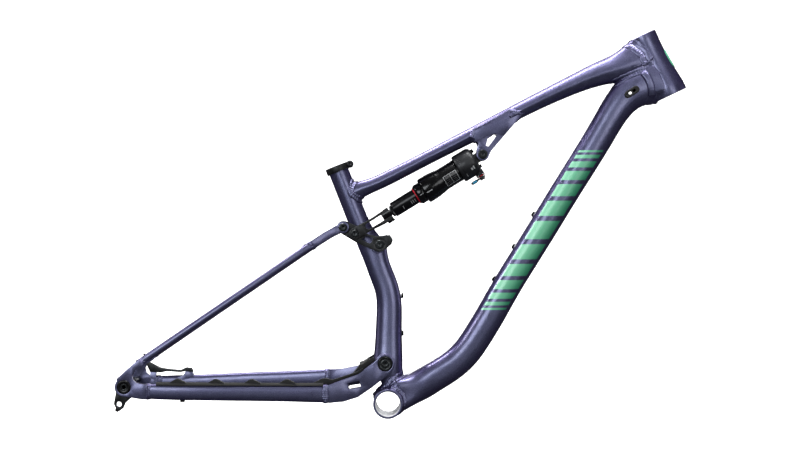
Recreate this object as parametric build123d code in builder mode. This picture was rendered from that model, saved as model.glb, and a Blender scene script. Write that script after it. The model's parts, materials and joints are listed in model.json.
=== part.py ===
from build123d import *
import os
from math import cos, sin, radians, degrees, atan2, pi, hypot

# Full-suspension bicycle frame with a flex-stay rear end and its shock.  Millimetres.
# +X is forward, +Y the rider's left, +Z up.  The origin is the centre of the bottom
# bracket.  The drive side is the right, -Y.  Side-view points are (x, z).

os.makedirs("parts", exist_ok=True)

# ---------------------------------------------------------------------------
# Driving dimensions
# ---------------------------------------------------------------------------
bb_shell_r = 25.0           # bottom bracket shell, press-fit
bb_bore_r = 20.5
bb_width = 92.0

seatpost_r = 15.45
seat_tube_r = 17.45
seat_top = (-86.9, 399.5)   # top of the seat tube on its axis
seat_lean = radians(21.5)   # backward lean of the upper seat tube

head_top = (432.2, 622.4)   # face centres of the head tube
head_bottom = (480.7, 520.7)
head_top_r = 23.6
head_bottom_r = 29.3
upper_seat_r = 20.9         # integrated bearing seats
lower_seat_r = 26.0

tube_wall = 2.0
stay_wall = 1.8

main_pivot = (-4.7, 67.0)
rocker_pivot = (-14.0, 267.5)
stay_pivot = (-75.3, 296.1)     # seatstay on the rocker
yoke_pivot = (-55.5, 285.7)     # shock yoke on the rocker
shock_pivot = (160.5, 419.7)    # front eye of the shock
rear_axle = (-436.9, 31.6)

# |Y| of faces, measured from the centre plane
hub_half = 148.0 / 2
rocker_in, rocker_out = 23.0, 31.0      # rocker arms
tab_in, tab_out = 31.4, 38.4            # seatstay tabs
yoke_in, yoke_out = 31.4, 37.4          # yoke plates
main_boss_half = 29.7
main_cap_in, main_cap_out = 38.3, 42.6  # main pivot caps
rocker_boss_in = 15.8

main_axle_r = 7.5
main_bearing_r = 12.0
rocker_bolt_r = 6.0
rocker_bearing_r = 9.5
link_bolt_r = 5.0           # bolts of the two small rocker pivots and of the front eye
link_bearing_r = 8.0
axle_r = 6.0
axle_hole_r = axle_r + 0.06


# ---------------------------------------------------------------------------
# Frames of reference
# ---------------------------------------------------------------------------
def heading(start, end):
    "unit vector from one side-view point to another, and the distance between them"
    dx, dz = end[0] - start[0], end[1] - start[1]
    length = hypot(dx, dz)
    return (dx / length, 0, dz / length), length


def side(y):
    "side-view plane at a distance y to the right of the centre plane; extrudes to the right"
    return Plane.XZ.offset(y)


# local x of this plane is below the shock, local y runs back along the shock
shock_back, shock_length = heading(shock_pivot, yoke_pivot)
shock_down = (-shock_back[2], 0, shock_back[0])
shock_up = (shock_back[2], 0, -shock_back[0])
shock_origin = (shock_pivot[0], 0, shock_pivot[1])
shock_plane = Plane(origin=shock_origin, x_dir=shock_down, z_dir=(0, 1, 0))
shock_axis = Axis(shock_origin, shock_back)


def shock_point(below, back):
    "point given by its distance below the shock axis and back from the front eye"
    return tuple(o + b * back + d * below
                 for o, b, d in zip(shock_origin, shock_back, shock_down))


# local x is the radius, local y the height above the bottom face
head_up, head_length = heading(head_bottom, head_top)
head_origin = (head_bottom[0], 0, head_bottom[1])
head_plane = Plane(origin=head_origin, x_dir=(head_up[2], 0, -head_up[0]), z_dir=(0, -1, 0))
head_axis = Axis(head_origin, head_up)

# section plane of the upper seat tube: local x forward, local y left
seat_up = (-sin(seat_lean), 0, cos(seat_lean))
seat_forward = (cos(seat_lean), 0, sin(seat_lean))
seat_origin = (seat_top[0], 0, seat_top[1])
seat_plane = Plane(origin=seat_origin, x_dir=seat_forward, z_dir=seat_up)


# ---------------------------------------------------------------------------
# Helpers
# ---------------------------------------------------------------------------
def save(name, builder):
    "label a finished piece and write its file"
    builder.part.label = name
    export_step(builder.part, f"parts/{name}.step")


def cut(*builders):
    "subtract other pieces from the current part, in the order given"
    for builder in builders:
        add(builder.part, mode=Mode.SUBTRACT)


def outline(*points, mode=Mode.ADD):
    "closed polygon, passed to the current sketch as a face"
    with BuildLine() as border:
        Polyline(*points, close=True)
    make_face(border.edges(), mode=mode)


def arc_points(centre, radius, start, end, count):
    "points on an arc, angles in degrees"
    angles = [radians(start + (end - start) * i / (count - 1)) for i in range(count)]
    return [(centre[0] + radius * cos(a), centre[1] + radius * sin(a)) for a in angles]


def circles(builder):
    return builder.edges().filter_by(GeomType.CIRCLE)


def section_plane(x, z, angle, y=0.0):
    "plane across a tube; angle is the direction of the section's height in side view"
    a = radians(angle)
    return Plane(origin=(x, y, z), x_dir=(0, 1, 0), z_dir=(sin(a), 0, -cos(a)))


def oval(x, z, angle, height, width, squareness, y=0.0, grow=0.0):
    "superellipse section; grow offsets its half-axes"
    a, b = width / 2 + grow, height / 2 + grow
    points = []
    for i in range(28):
        t = 2 * pi * i / 28
        c, s = cos(t), sin(t)
        r = (abs(c) ** squareness + abs(s) ** squareness) ** (-1 / squareness)
        points.append((a * r * c, b * r * s))
    with BuildSketch(section_plane(x, z, angle, y)) as section:
        with BuildLine():
            Spline(*points, periodic=True)
        make_face()
    return section.sketch


def creased(x, z, angle, height, width, grow=0.0):
    "section with a rounded crown above a side crease and a narrower belly below it"
    a, b = width / 2 + grow, height / 2 + grow
    c = -0.12 * b   # height of the crease
    crown = [(a, c), (0.955 * a, c + 0.34 * b), (0.80 * a, c + 0.72 * b), (0.50 * a, 0.93 * b),
             (0, b), (-0.50 * a, 0.93 * b), (-0.80 * a, c + 0.72 * b),
             (-0.955 * a, c + 0.34 * b), (-a, c)]
    belly = [(-a, c), (-0.86 * a, c - 0.34 * b), (-0.66 * a, c - 0.66 * b),
             (-0.36 * a, -0.95 * b), (0, -b), (0.36 * a, -0.95 * b),
             (0.66 * a, c - 0.66 * b), (0.86 * a, c - 0.34 * b), (a, c)]
    with BuildSketch(section_plane(x, z, angle)) as section:
        with BuildLine():
            Spline(*crown)
            Spline(*belly)
        make_face()
    return section.sketch


def lofted(section, stations, grow=0.0):
    "solid through the sections at a list of stations"
    with BuildPart() as body:
        loft(sections=[section(*station, grow=grow) for station in stations])
    return body


def turned(*points):
    "body revolved about the shock axis from (radius, distance back) points"
    with BuildPart() as body:
        with BuildSketch(shock_plane):
            outline(*points)
        revolve(axis=shock_axis)
    return body


def bolt_pair(pivot, inner, outer, shank_r, head_r, head_height, socket_r, socket_depth):
    "one bolt each side, with a shank from inner to outer |Y| and the head outside"
    with BuildPart() as bolts:
        with BuildSketch(side(inner)), Locations(pivot):
            Circle(shank_r)
        extrude(amount=outer - inner)
        with BuildSketch(side(outer)), Locations(pivot):
            Circle(head_r)
        extrude(amount=head_height)
        chamfer(circles(bolts).sort_by(Axis.Y)[0], 0.8)
        with BuildSketch(side(outer + head_height)), Locations(pivot):
            RegularPolygon(socket_r, 6)
        extrude(amount=-socket_depth, mode=Mode.SUBTRACT)
        mirror(about=Plane.XZ)
    return bolts


# ===========================================================================
# FRONT TRIANGLE
# ===========================================================================

# --- head tube: tapered, with a thick rim at both bearing seats -------------
rim_chamfer = 0.8
with BuildPart() as head_tube_full:
    with BuildSketch(head_plane):
        with BuildLine():
            base = Line((0, 0), (head_bottom_r - rim_chamfer, 0))
            base_bevel = Line(base @ 1, (head_bottom_r, rim_chamfer))
            rim = Line(base_bevel @ 1, (head_bottom_r, 14))
            waist = Spline(rim @ 1, (27.4, 30), (24.2, 62), (23.2, head_length - 26),
                           (head_top_r, head_length - 12))
            top_rim = Line(waist @ 1, (head_top_r, head_length - rim_chamfer))
            top_bevel = Line(top_rim @ 1, (head_top_r - rim_chamfer, head_length))
            top = Line(top_bevel @ 1, (0, head_length))
            Line(top @ 1, base @ 0)
        make_face()
    revolve(axis=head_axis)

with BuildPart() as head_tube:
    add(head_tube_full.part)
    with BuildSketch(head_plane):
        outline((0, -1), (lower_seat_r + 1.0, -1), (lower_seat_r + 1.0, 0.2),
                (lower_seat_r, 1.2), (lower_seat_r, 9.0), (22.4, 12.4), (21.4, 34), (19.8, 62),
                (18.4, head_length - 11.0), (upper_seat_r, head_length - 8.5),
                (upper_seat_r, head_length - 1.0), (upper_seat_r + 0.8, head_length - 0.2),
                (upper_seat_r + 0.8, head_length + 1), (0, head_length + 1))
    revolve(axis=head_axis, mode=Mode.SUBTRACT)
save("head_tube", head_tube)

# --- bottom bracket shell ----------------------------------------------------
with BuildPart() as bb_full:
    with BuildSketch(side(-bb_width / 2)):
        Circle(bb_shell_r)
    extrude(amount=bb_width)

with BuildPart() as bottom_bracket_shell:
    add(bb_full.part)
    with BuildSketch(side(-bb_width / 2 - 1)):
        Circle(bb_bore_r)
    extrude(amount=bb_width + 2, mode=Mode.SUBTRACT)
    chamfer(circles(bottom_bracket_shell).group_by(Axis.Y)[0], 0.7)
    chamfer(circles(bottom_bracket_shell).group_by(Axis.Y)[-1], 0.7)
save("bottom_bracket_shell", bottom_bracket_shell)

# --- pivot bosses ------------------------------------------------------------
with BuildPart() as main_boss_full:
    with BuildSketch(side(-main_boss_half)), Locations(main_pivot):
        Circle(16.5)
    extrude(amount=2 * main_boss_half)

with BuildPart() as main_pivot_boss:
    add(main_boss_full.part)
    with BuildSketch(side(-30)), Locations(main_pivot):
        Circle(main_axle_r)
    extrude(amount=60, mode=Mode.SUBTRACT)
    chamfer(circles(main_pivot_boss).group_by(Axis.Y)[0], 0.5)
    chamfer(circles(main_pivot_boss).group_by(Axis.Y)[-1], 0.5)
save("main_pivot_boss", main_pivot_boss)

# two short stubs, one each side, so the seatpost bore passes between them
with BuildPart() as rocker_boss_full:
    with BuildSketch(side(rocker_boss_in)), Locations(rocker_pivot):
        Circle(11.5)
    extrude(amount=6.9)
    mirror(about=Plane.XZ)

with BuildPart() as rocker_pivot_bosses:
    add(rocker_boss_full.part)
    with BuildSketch(side(-24)), Locations(rocker_pivot):
        Circle(rocker_bolt_r)
    extrude(amount=48, mode=Mode.SUBTRACT)
save("rocker_pivot_bosses", rocker_pivot_bosses)

# --- tube stations -------------------------------------------------------------
# x, z, section angle, height, width, squareness; from the top down
seat_stations = [
    (-49.8, 308.2, -158.5, 34.9, 34.9, 2.0),
    (-43.4, 292.1, -158.5, 35.6, 35.0, 2.0),
    (-36.2, 279.4, -158.5, 39.6, 35.6, 2.1),
    (-28.6, 266.4, -158.5, 44.6, 36.4, 2.2),
    (-23.6, 255.9, -158.5, 45.6, 37.0, 2.3),
    (-19.6, 241.6, -158.5, 42.6, 37.6, 2.4),
    (-10.1, 214.2, -159.5, 41.5, 38.4, 2.4),
    (-2.6, 193.8, -167.5, 42.0, 39.4, 2.4),
    (1.3, 173.6, -176.2, 42.6, 40.6, 2.4),
    (1.7, 138.3, -180.0, 44.1, 43.4, 2.4),
    (0.9, 104.0, -180.0, 46.0, 47.0, 2.5),
    (0.4, 82.4, -180.0, 48.5, 50.5, 2.6),
    (0.0, 55.0, -180.0, 49.8, 54.0, 2.6),
    (0.0, 12.0, -180.0, 49.8, 56.0, 2.6),
]
# the same columns, from the head tube to the bottom bracket
down_stations = [
    (452.0, 543.0, 104.0, 71.0, 50.0, 2.3),
    (436.0, 538.0, 110.0, 68.0, 50.0, 2.3),
    (413.0, 526.0, 121.5, 61.0, 50.5, 2.3),
    (393.5, 506.2, 136.2, 54.6, 51.0, 2.3),
    (379.3, 485.2, 144.8, 51.2, 51.0, 2.3),
    (360.7, 453.6, 147.7, 50.2, 51.0, 2.3),
    (300.9, 357.2, 147.8, 49.7, 51.0, 2.3),
    (241.9, 261.0, 147.9, 49.5, 51.5, 2.3),
    (201.8, 196.4, 149.0, 49.8, 52.5, 2.3),
    (168.6, 138.2, 149.2, 50.0, 54.0, 2.4),
    (153.0, 112.7, 145.0, 50.0, 54.5, 2.4),
    (136.9, 89.2, 134.0, 50.4, 55.5, 2.5),
    (120.4, 71.3, 124.4, 50.8, 56.5, 2.5),
    (103.7, 58.2, 119.6, 51.0, 57.5, 2.6),
    (76.8, 41.4, 119.4, 51.4, 59.0, 2.6),
    (50.5, 26.4, 119.8, 52.4, 61.0, 2.7),
    (6.0, 0.6, 120.0, 49.0, 63.0, 2.8),
]
# x, z, section angle, height, width; from the seat tube to the head tube
top_stations = [
    (-70.0, 351.4, 112.0, 37.0, 33.0),
    (-58.0, 356.0, 113.8, 33.0, 33.4),
    (-46.0, 360.6, 115.8, 29.0, 34.0),
    (-35.0, 365.0, 117.2, 26.4, 34.6),
    (-21.6, 370.2, 117.4, 24.9, 35.4),
    (-2.7, 378.9, 116.9, 24.6, 36.2),
    (34.3, 397.6, 117.2, 23.8, 37.0),
    (107.2, 435.2, 117.3, 24.3, 38.0),
    (180.7, 472.6, 117.2, 26.4, 39.4),
    (254.1, 510.1, 116.9, 28.2, 41.4),
    (291.3, 528.0, 116.2, 30.8, 42.6),
    (328.9, 545.0, 115.6, 35.2, 44.0),
    (366.2, 559.2, 115.2, 43.0, 45.4),
    (392.1, 567.2, 114.2, 50.8, 46.0),
    (411.0, 573.6, 113.2, 62.0, 46.0),
    (424.5, 577.2, 112.6, 73.0, 45.6),
    (440.5, 581.6, 112.6, 78.0, 45.0),
]

# --- bottle bosses: threaded inserts with dome bolts ----------------------------
insert_top = 0.6            # flange face above the boss plane
insert_steps = [(5.4, 1.6), (3.6, 12.0)]    # radius, depth: flange, barrel
insert_bore_r = 2.5
tool_rise = 2.4             # how far the cutters stand above the flange
dome_r = 4.8

down_dir, _ = heading(down_stations[7][:2], down_stations[6][:2])
boss_planes = [Plane(origin=(x, 0, z), x_dir=down_dir, z_dir=(-down_dir[2], 0, down_dir[0]))
               for x, z in [(180.9, 208.4), (214.4, 263.4), (247.9, 318.2)]]
boss_planes += [Plane(origin=(x, 0, z), x_dir=(0, 0, -1), z_dir=(1, 0, 0))
                for x, z in [(22.5, 180.4), (22.8, 116.4)]]

with BuildPart() as bottle_rivnuts:
    for boss in boss_planes:
        for radius, depth in insert_steps:
            with BuildSketch(boss.offset(insert_top)):
                Circle(radius)
            extrude(amount=-depth)
        with BuildSketch(boss.offset(insert_top)):
            Circle(insert_bore_r)
        extrude(amount=-13, mode=Mode.SUBTRACT)
save("bottle_rivnuts", bottle_rivnuts)

with BuildPart() as rivnut_tools:
    for boss in boss_planes:
        for radius, depth in insert_steps:
            with BuildSketch(boss.offset(insert_top + tool_rise)):
                Circle(radius)
            extrude(amount=-(depth + tool_rise))

with BuildPart() as bottle_bolts:
    for boss in boss_planes:
        with BuildSketch(boss.offset(insert_top)):
            Circle(insert_bore_r)
        extrude(amount=-9)
        with BuildSketch(boss.offset(insert_top)):
            Circle(dome_r)
        extrude(amount=1.4)
        with BuildSketch(boss.offset(insert_top + 1.4)):
            Circle(dome_r)
        extrude(amount=1.9, taper=38)
    for boss in boss_planes:
        with BuildSketch(boss.offset(4.0)):
            RegularPolygon(1.9, 6)
        extrude(amount=-2.4, mode=Mode.SUBTRACT)
save("bottle_bolts", bottle_bolts)

# --- cable ports on both sides of the down tube ---------------------------------
port_slope = radians(33)
port_plane = Plane(origin=(411.5, -22.0, 524.5), x_dir=(cos(port_slope), 0, sin(port_slope)),
                   z_dir=(0, -1, 0))
port_length, port_height = 28.0, 12.4
port_screw = (-10.2, 0)
port_screw_r = 2.0
port_screw_length = 5.8

with BuildPart() as cable_port_covers:
    with BuildSketch(port_plane):
        SlotOverall(port_length, port_height)
    extrude(amount=6.4)
    fillet(cable_port_covers.edges().group_by(Axis.Y)[0], 1.6)
    # two cable entries
    with BuildSketch(port_plane.offset(7)), Locations((-3.6, 0), (4.2, 0)):
        SlotOverall(6.6, 4.6)
    extrude(amount=-8, mode=Mode.SUBTRACT)
    with BuildSketch(port_plane.offset(7)), Locations(port_screw):
        Circle(port_screw_r)
    extrude(amount=-8, mode=Mode.SUBTRACT)
    mirror(about=Plane.XZ)
save("cable_port_covers", cable_port_covers)

with BuildPart() as cable_port_screws:
    with BuildSketch(port_plane), Locations(port_screw):
        Circle(port_screw_r)
    extrude(amount=port_screw_length)
    with BuildSketch(port_plane.offset(port_screw_length)), Locations(port_screw):
        RegularPolygon(1.1, 6)
    extrude(amount=-1.2, mode=Mode.SUBTRACT)
    mirror(about=Plane.XZ)
save("cable_port_screws", cable_port_screws)

with BuildPart() as port_tool:
    with BuildSketch(port_plane):
        SlotOverall(port_length, port_height)
    extrude(amount=12)
    mirror(about=Plane.XZ)

# --- seat tube: round above, shaped and bent below the rocker pivot --------------
upper_seat_length = 105.0
seat_low_full = lofted(oval, seat_stations)
seat_low_void = lofted(oval, seat_stations[7:], grow=-3.4)
with BuildPart() as seat_up_full:
    with BuildSketch(seat_plane.offset(-upper_seat_length)):
        Circle(seat_tube_r)
    extrude(amount=upper_seat_length)
with BuildPart() as seat_tube_full:
    add(seat_up_full.part)
    add(seat_low_full.part)

with BuildPart() as seat_tube:
    add(seat_tube_full.part)
    with BuildSketch(seat_plane.offset(1)):
        Circle(seatpost_r)
    extrude(amount=-196, mode=Mode.SUBTRACT)
    cut(seat_low_void)
    # slot down the rear wall, ending in a round hole
    with BuildSketch(Plane(origin=seat_origin, x_dir=(0, 1, 0), z_dir=seat_forward)):
        with Locations((0, -12)):
            Rectangle(1.6, 30)
        with Locations((0, -27)):
            Circle(1.8)
    extrude(amount=-30, mode=Mode.SUBTRACT)
    cut(bb_full, main_boss_full, rocker_boss_full, rivnut_tools)
save("seat_tube", seat_tube)

# --- down tube ---------------------------------------------------------------
down_full = lofted(oval, down_stations)
down_void = lofted(oval, down_stations, grow=-tube_wall)

with BuildPart() as down_tube:
    add(down_full.part)
    cut(down_void, head_tube_full, seat_tube_full, bb_full)
    # nothing hangs below the lower bearing seat
    with BuildSketch(head_plane):
        outline((0, -25), (29.2, -25), (29.2, 0.4), (0, 0.4))
    revolve(axis=head_axis, mode=Mode.SUBTRACT)
    cut(port_tool, rivnut_tools)
save("down_tube", down_tube)

# --- top tube ----------------------------------------------------------------
top_full = lofted(creased, top_stations)
top_void = lofted(creased, top_stations, grow=-tube_wall)

with BuildPart() as top_tube:
    add(top_full.part)
    cut(top_void, head_tube_full, seat_tube_full, down_full, port_tool)
save("top_tube", top_tube)

# --- shock mount: two plates joined by a saddle under the top tube --------------
bracket_in = 10.6           # |Y| of the inner face of each plate
bracket_outline = [
    (146.6, 441.0), (150.4, 441.6), (153.2, 437.6), (150.9, 430.0), (149.4, 423.5),
    *arc_points(shock_pivot, 10.6, 165, 352, 12),
    (174.6, 425.6), (213.0, 470.4), (228.0, 488.0), (205.0, 492.0), (170.0, 474.0),
    (144.0, 458.5), (141.2, 450.0)]
bracket_window = [(165.6, 434.4), (170.4, 433.0), (184.6, 452.2), (180.0, 454.6), (169.0, 447.4)]
saddle_outline = [
    (141.2, 449.2), (151.6, 441.6), (156.0, 445.2), (168.6, 451.4), (183.4, 455.8),
    (196.0, 452.0), (228.0, 488.0), (205.0, 494.0), (170.0, 474.0), (144.0, 460.5)]
bracket_bridge = [(176.0, 452.4), (186.0, 455.6), (199.0, 455.0), (226.0, 486.0),
                  (205.0, 492.0), (176.0, 476.0)]
with BuildPart() as shock_mount_bracket:
    with BuildSketch(side(bracket_in)):
        outline(*bracket_outline)
        outline(*bracket_window, mode=Mode.SUBTRACT)
        with Locations(shock_pivot):
            Circle(link_bolt_r, mode=Mode.SUBTRACT)
    extrude(amount=6.4)
    # saddle that wraps the belly of the top tube
    with BuildSketch(side(bracket_in)):
        outline(*saddle_outline)
    extrude(amount=9.4)
    mirror(about=Plane.XZ)
    # bridge between the plates, close under the tube
    with BuildSketch(side(-bracket_in)):
        outline(*bracket_bridge)
    extrude(amount=2 * bracket_in)
    cut(top_full)
save("shock_mount_bracket", shock_mount_bracket)

mount_half = 17.0           # half length of the shank
mount_heads = [(mount_half, 3.2), (-20.0, 3.0)]     # start, thickness: right, left
with BuildPart() as shock_mount_bolt:
    with BuildSketch(side(-mount_half)), Locations(shock_pivot):
        Circle(link_bolt_r)
    extrude(amount=2 * mount_half)
    for start, thickness in mount_heads:
        with BuildSketch(side(start)), Locations(shock_pivot):
            Circle(8.0)
        extrude(amount=thickness)
    chamfer(circles(shock_mount_bolt).group_by(Axis.Y)[0], 0.9)
    chamfer(circles(shock_mount_bolt).group_by(Axis.Y)[-1], 0.9)
    with BuildSketch(side(20.2)), Locations(shock_pivot):
        RegularPolygon(2.9, 6)
    extrude(amount=-5.0, mode=Mode.SUBTRACT)
save("shock_mount_bolt", shock_mount_bolt)

# --- main pivot and rocker pivot hardware -----------------------------------
with BuildPart() as main_pivot_axle:
    with BuildSketch(side(-main_cap_in)), Locations(main_pivot):
        Circle(main_axle_r)
        Circle(4.6, mode=Mode.SUBTRACT)
    extrude(amount=2 * main_cap_in)
save("main_pivot_axle", main_pivot_axle)

with BuildPart() as main_pivot_caps:
    with BuildSketch(side(main_cap_in)), Locations(main_pivot):
        Circle(12.2)
    extrude(amount=main_cap_out - main_cap_in)
    chamfer(circles(main_pivot_caps).sort_by(Axis.Y)[0], 0.8)
    # ring groove and hex socket in the outer face
    with BuildSketch(side(main_cap_out)), Locations(main_pivot):
        Circle(8.6)
        Circle(6.9, mode=Mode.SUBTRACT)
    extrude(amount=-0.6, mode=Mode.SUBTRACT)
    with BuildSketch(side(main_cap_out)), Locations(main_pivot):
        RegularPolygon(4.0, 6)
    extrude(amount=-3.4, mode=Mode.SUBTRACT)
    mirror(about=Plane.XZ)
save("main_pivot_caps", main_pivot_caps)

save("rocker_pivot_bolts", bolt_pair(
    rocker_pivot, inner=rocker_boss_in, outer=29.7, shank_r=rocker_bolt_r,
    head_r=7.3, head_height=3.2, socket_r=3.0, socket_depth=2.6))

# --- seat clamp: collar with a split lug in front of the seat tube ---------------
clamp_height = 10.8
clamp_lug_width = 17.0
clamp_lug_x = 22.2          # bolt axis in front of the seat tube axis
clamp_plane = seat_plane.offset(-9.6)
clamp_bolt_plane = Plane(
    origin=clamp_plane.from_local_coords((clamp_lug_x, 0, clamp_height / 2)),
    x_dir=seat_forward, z_dir=(0, -1, 0))
clamp_lug_plane = Plane(
    origin=clamp_plane.from_local_coords((clamp_lug_x, -clamp_lug_width / 2, clamp_height / 2)),
    x_dir=seat_forward, z_dir=(0, 1, 0))

with BuildPart() as seat_clamp_collar:
    with BuildSketch(clamp_plane):
        Circle(20.6)
        with Locations((17.6, 0)):
            Rectangle(9.2, clamp_lug_width)
    extrude(amount=clamp_height)
    with BuildSketch(clamp_lug_plane):
        Circle(6.2)
    extrude(amount=clamp_lug_width)
    # seat tube bore and the split in the lug
    with BuildSketch(clamp_plane.offset(-3)):
        Circle(seat_tube_r)
        with Locations((25.0, 0)):
            Rectangle(20.0, 2.4)
    extrude(amount=18, mode=Mode.SUBTRACT)
    # cross hole for the clamp bolt, and the clearance for its head
    with BuildSketch(clamp_bolt_plane):
        Circle(2.55)
    extrude(amount=12, both=True, mode=Mode.SUBTRACT)
    with BuildSketch(clamp_bolt_plane.offset(clamp_lug_width / 2)):
        Circle(4.8)
    extrude(amount=12, mode=Mode.SUBTRACT)
save("seat_clamp_collar", seat_clamp_collar)

clamp_head_height = 4.6
with BuildPart() as seat_clamp_bolt:
    with BuildSketch(clamp_bolt_plane.offset(-clamp_lug_width / 2)):
        Circle(2.5)
    extrude(amount=clamp_lug_width)
    with BuildSketch(clamp_bolt_plane.offset(clamp_lug_width / 2)):
        Circle(4.5)
    extrude(amount=clamp_head_height)
    chamfer(circles(seat_clamp_bolt).sort_by(Axis.Y)[0], 0.5)
    with BuildSketch(clamp_bolt_plane.offset(clamp_lug_width / 2 + clamp_head_height)):
        RegularPolygon(2.3, 6)
    extrude(amount=-3.0, mode=Mode.SUBTRACT)
save("seat_clamp_bolt", seat_clamp_bolt)

# ===========================================================================
# SWINGARM
# ===========================================================================

# --- pivot arms: plates, one each side of the seat tube --------------------------
arm_eye = arc_points(main_pivot, 15.4, 148, -42, 14)
arm_side_right = [
    (-104.0, 32.2), (-97.3, 33.4), (-78.0, 40.6), (-50.0, 50.6), (-22.6, 70.6), *arm_eye,
    (2.0, 50.2), (-26.0, 27.8), (-50.0, 11.6), (-73.8, 4.6), (-97.3, 2.8), (-104.0, 3.4)]
arm_window = [(-66.5, 35.2), (-47.8, 39.2), (-45.4, 28.6), (-66.0, 25.0)]
# the left arm meets a chainstay that sits higher
arm_side_left = [
    (-104.0, 50.9), (-79.0, 52.6), (-50.0, 58.8), (-24.4, 71.6), *arm_eye,
    (2.0, 50.2), (-20.0, 37.4), (-44.0, 28.0), (-73.8, 22.4), (-97.3, 21.2), (-104.0, 21.7)]
# plan of the right arm, (x, y)
arm_plan = [
    (-104.0, -39.4), (-80.0, -36.0), (-52.0, -31.6), (-34.0, -30.0), (14.0, -30.0),
    (14.0, -42.0), (-28.0, -42.4), (-52.0, -46.6), (-80.0, -53.2), (-104.0, -57.4)]


def pivot_arm(is_right, side_outline, plan, window=None):
    "pivot arm with its bearing bore and cap recess"

    def layer(inner, depth):
        "plane where a layer from inner to inner + depth, in |Y|, starts"
        return side(inner if is_right else -inner - depth)

    bore_in, recess_depth = 29.0, 8.0
    bore_depth = main_cap_in - bore_in
    with BuildPart() as arm:
        with BuildSketch(layer(28, 32)):
            outline(*side_outline)
            if window:
                outline(*window, mode=Mode.SUBTRACT)
        extrude(amount=32)
        with BuildSketch(Plane.XY.offset(-10)):
            outline(*plan)
        extrude(amount=110, mode=Mode.INTERSECT)
        with BuildSketch(layer(bore_in, bore_depth)), Locations(main_pivot):
            Circle(main_bearing_r)
        extrude(amount=bore_depth, mode=Mode.SUBTRACT)
        with BuildSketch(layer(main_cap_in, recess_depth)), Locations(main_pivot):
            Circle(12.7)
        extrude(amount=recess_depth, mode=Mode.SUBTRACT)
    return arm


arm_right = pivot_arm(True, arm_side_right, arm_plan, arm_window)
arm_left = pivot_arm(False, arm_side_left, [(x, -y) for x, y in arm_plan])
save("chainstay_pivot_arm_right", arm_right)
save("chainstay_pivot_arm_left", arm_left)

with BuildPart() as main_pivot_bearings:
    with BuildSketch(side(30.6)), Locations(main_pivot):
        Circle(main_bearing_r)
        Circle(main_axle_r + 0.04, mode=Mode.SUBTRACT)
    extrude(amount=7.0)
    with BuildSketch(side(37.6)), Locations(main_pivot):
        Circle(10.9)
        Circle(8.7, mode=Mode.SUBTRACT)
    extrude(amount=-0.5, mode=Mode.SUBTRACT)
    mirror(about=Plane.XZ)
save("main_pivot_bearings", main_pivot_bearings)

# --- bridge that ties the two arms together behind the seat tube ---------------
arm_bridge_centre = (-75.0, 30.0)
with BuildPart() as chainstay_bridge:
    with BuildSketch(side(-60)), Locations(arm_bridge_centre):
        RectangleRounded(15.0, 15.0, 5.0)
    extrude(amount=120)
    with BuildSketch(side(-60)), Locations(arm_bridge_centre):
        RectangleRounded(9.0, 9.0, 2.6)
    extrude(amount=120, mode=Mode.SUBTRACT)
    # ends trimmed to the inner faces of the arms
    with BuildSketch(Plane.XY.offset(-10)):
        outline((-95, -38.1), (-80.0, -36.0), (-52.0, -31.6),
                (-52.0, 31.6), (-80.0, 36.0), (-95, 38.1))
    extrude(amount=80, mode=Mode.INTERSECT)
save("chainstay_bridge", chainstay_bridge)

# --- dropouts --------------------------------------------------------------------
dropout_in, dropout_depth = 66.0, 16.0
hub_face_r = 23.0
dropout_outline = [
    (-404.6, 70.4), (-413.4, 76.6), (-424.5, 67.4), (-449.2, 45.2),
    *arc_points(rear_axle, 15.4, 140, 262, 10),
    (-428.7, 15.0), (-408.4, 11.6), (-399.0, 11.0), (-398.6, 35.6), (-407.0, 36.4),
    (-415.6, 38.6), (-421.5, 43.0), (-423.6, 50.6), (-420.2, 58.4), (-411.0, 64.2)]
with BuildPart() as dropout_right:
    with BuildSketch(side(dropout_in)):
        outline(*dropout_outline)
    extrude(amount=dropout_depth)
    # hub face, then the hanger pocket outside it
    with BuildSketch(side(60)), Locations(rear_axle):
        Circle(hub_face_r)
    extrude(amount=hub_half - 60, mode=Mode.SUBTRACT)
    with BuildSketch(side(hub_half - 1)):
        with Locations(rear_axle):
            Circle(14.2)
        outline((-451.5, 26.0), (-459.0, -14.0), (-424.0, -14.0), (-421.0, 22.0), (-437.0, 30.0))
    extrude(amount=5.0, mode=Mode.SUBTRACT)
    with BuildSketch(side(70)), Locations(rear_axle):
        Circle(11.8)
    extrude(amount=20, mode=Mode.SUBTRACT)
save("dropout_right", dropout_right)

with BuildPart() as dropout_left:
    with BuildSketch(side(-dropout_in - dropout_depth)):
        outline(*dropout_outline)
    extrude(amount=dropout_depth)
    with BuildSketch(side(-hub_half)), Locations(rear_axle):
        Circle(hub_face_r)
    extrude(amount=16, mode=Mode.SUBTRACT)
    with BuildSketch(side(-90)), Locations(rear_axle):
        Circle(axle_hole_r)
    extrude(amount=30, mode=Mode.SUBTRACT)
save("dropout_left", dropout_left)

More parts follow.
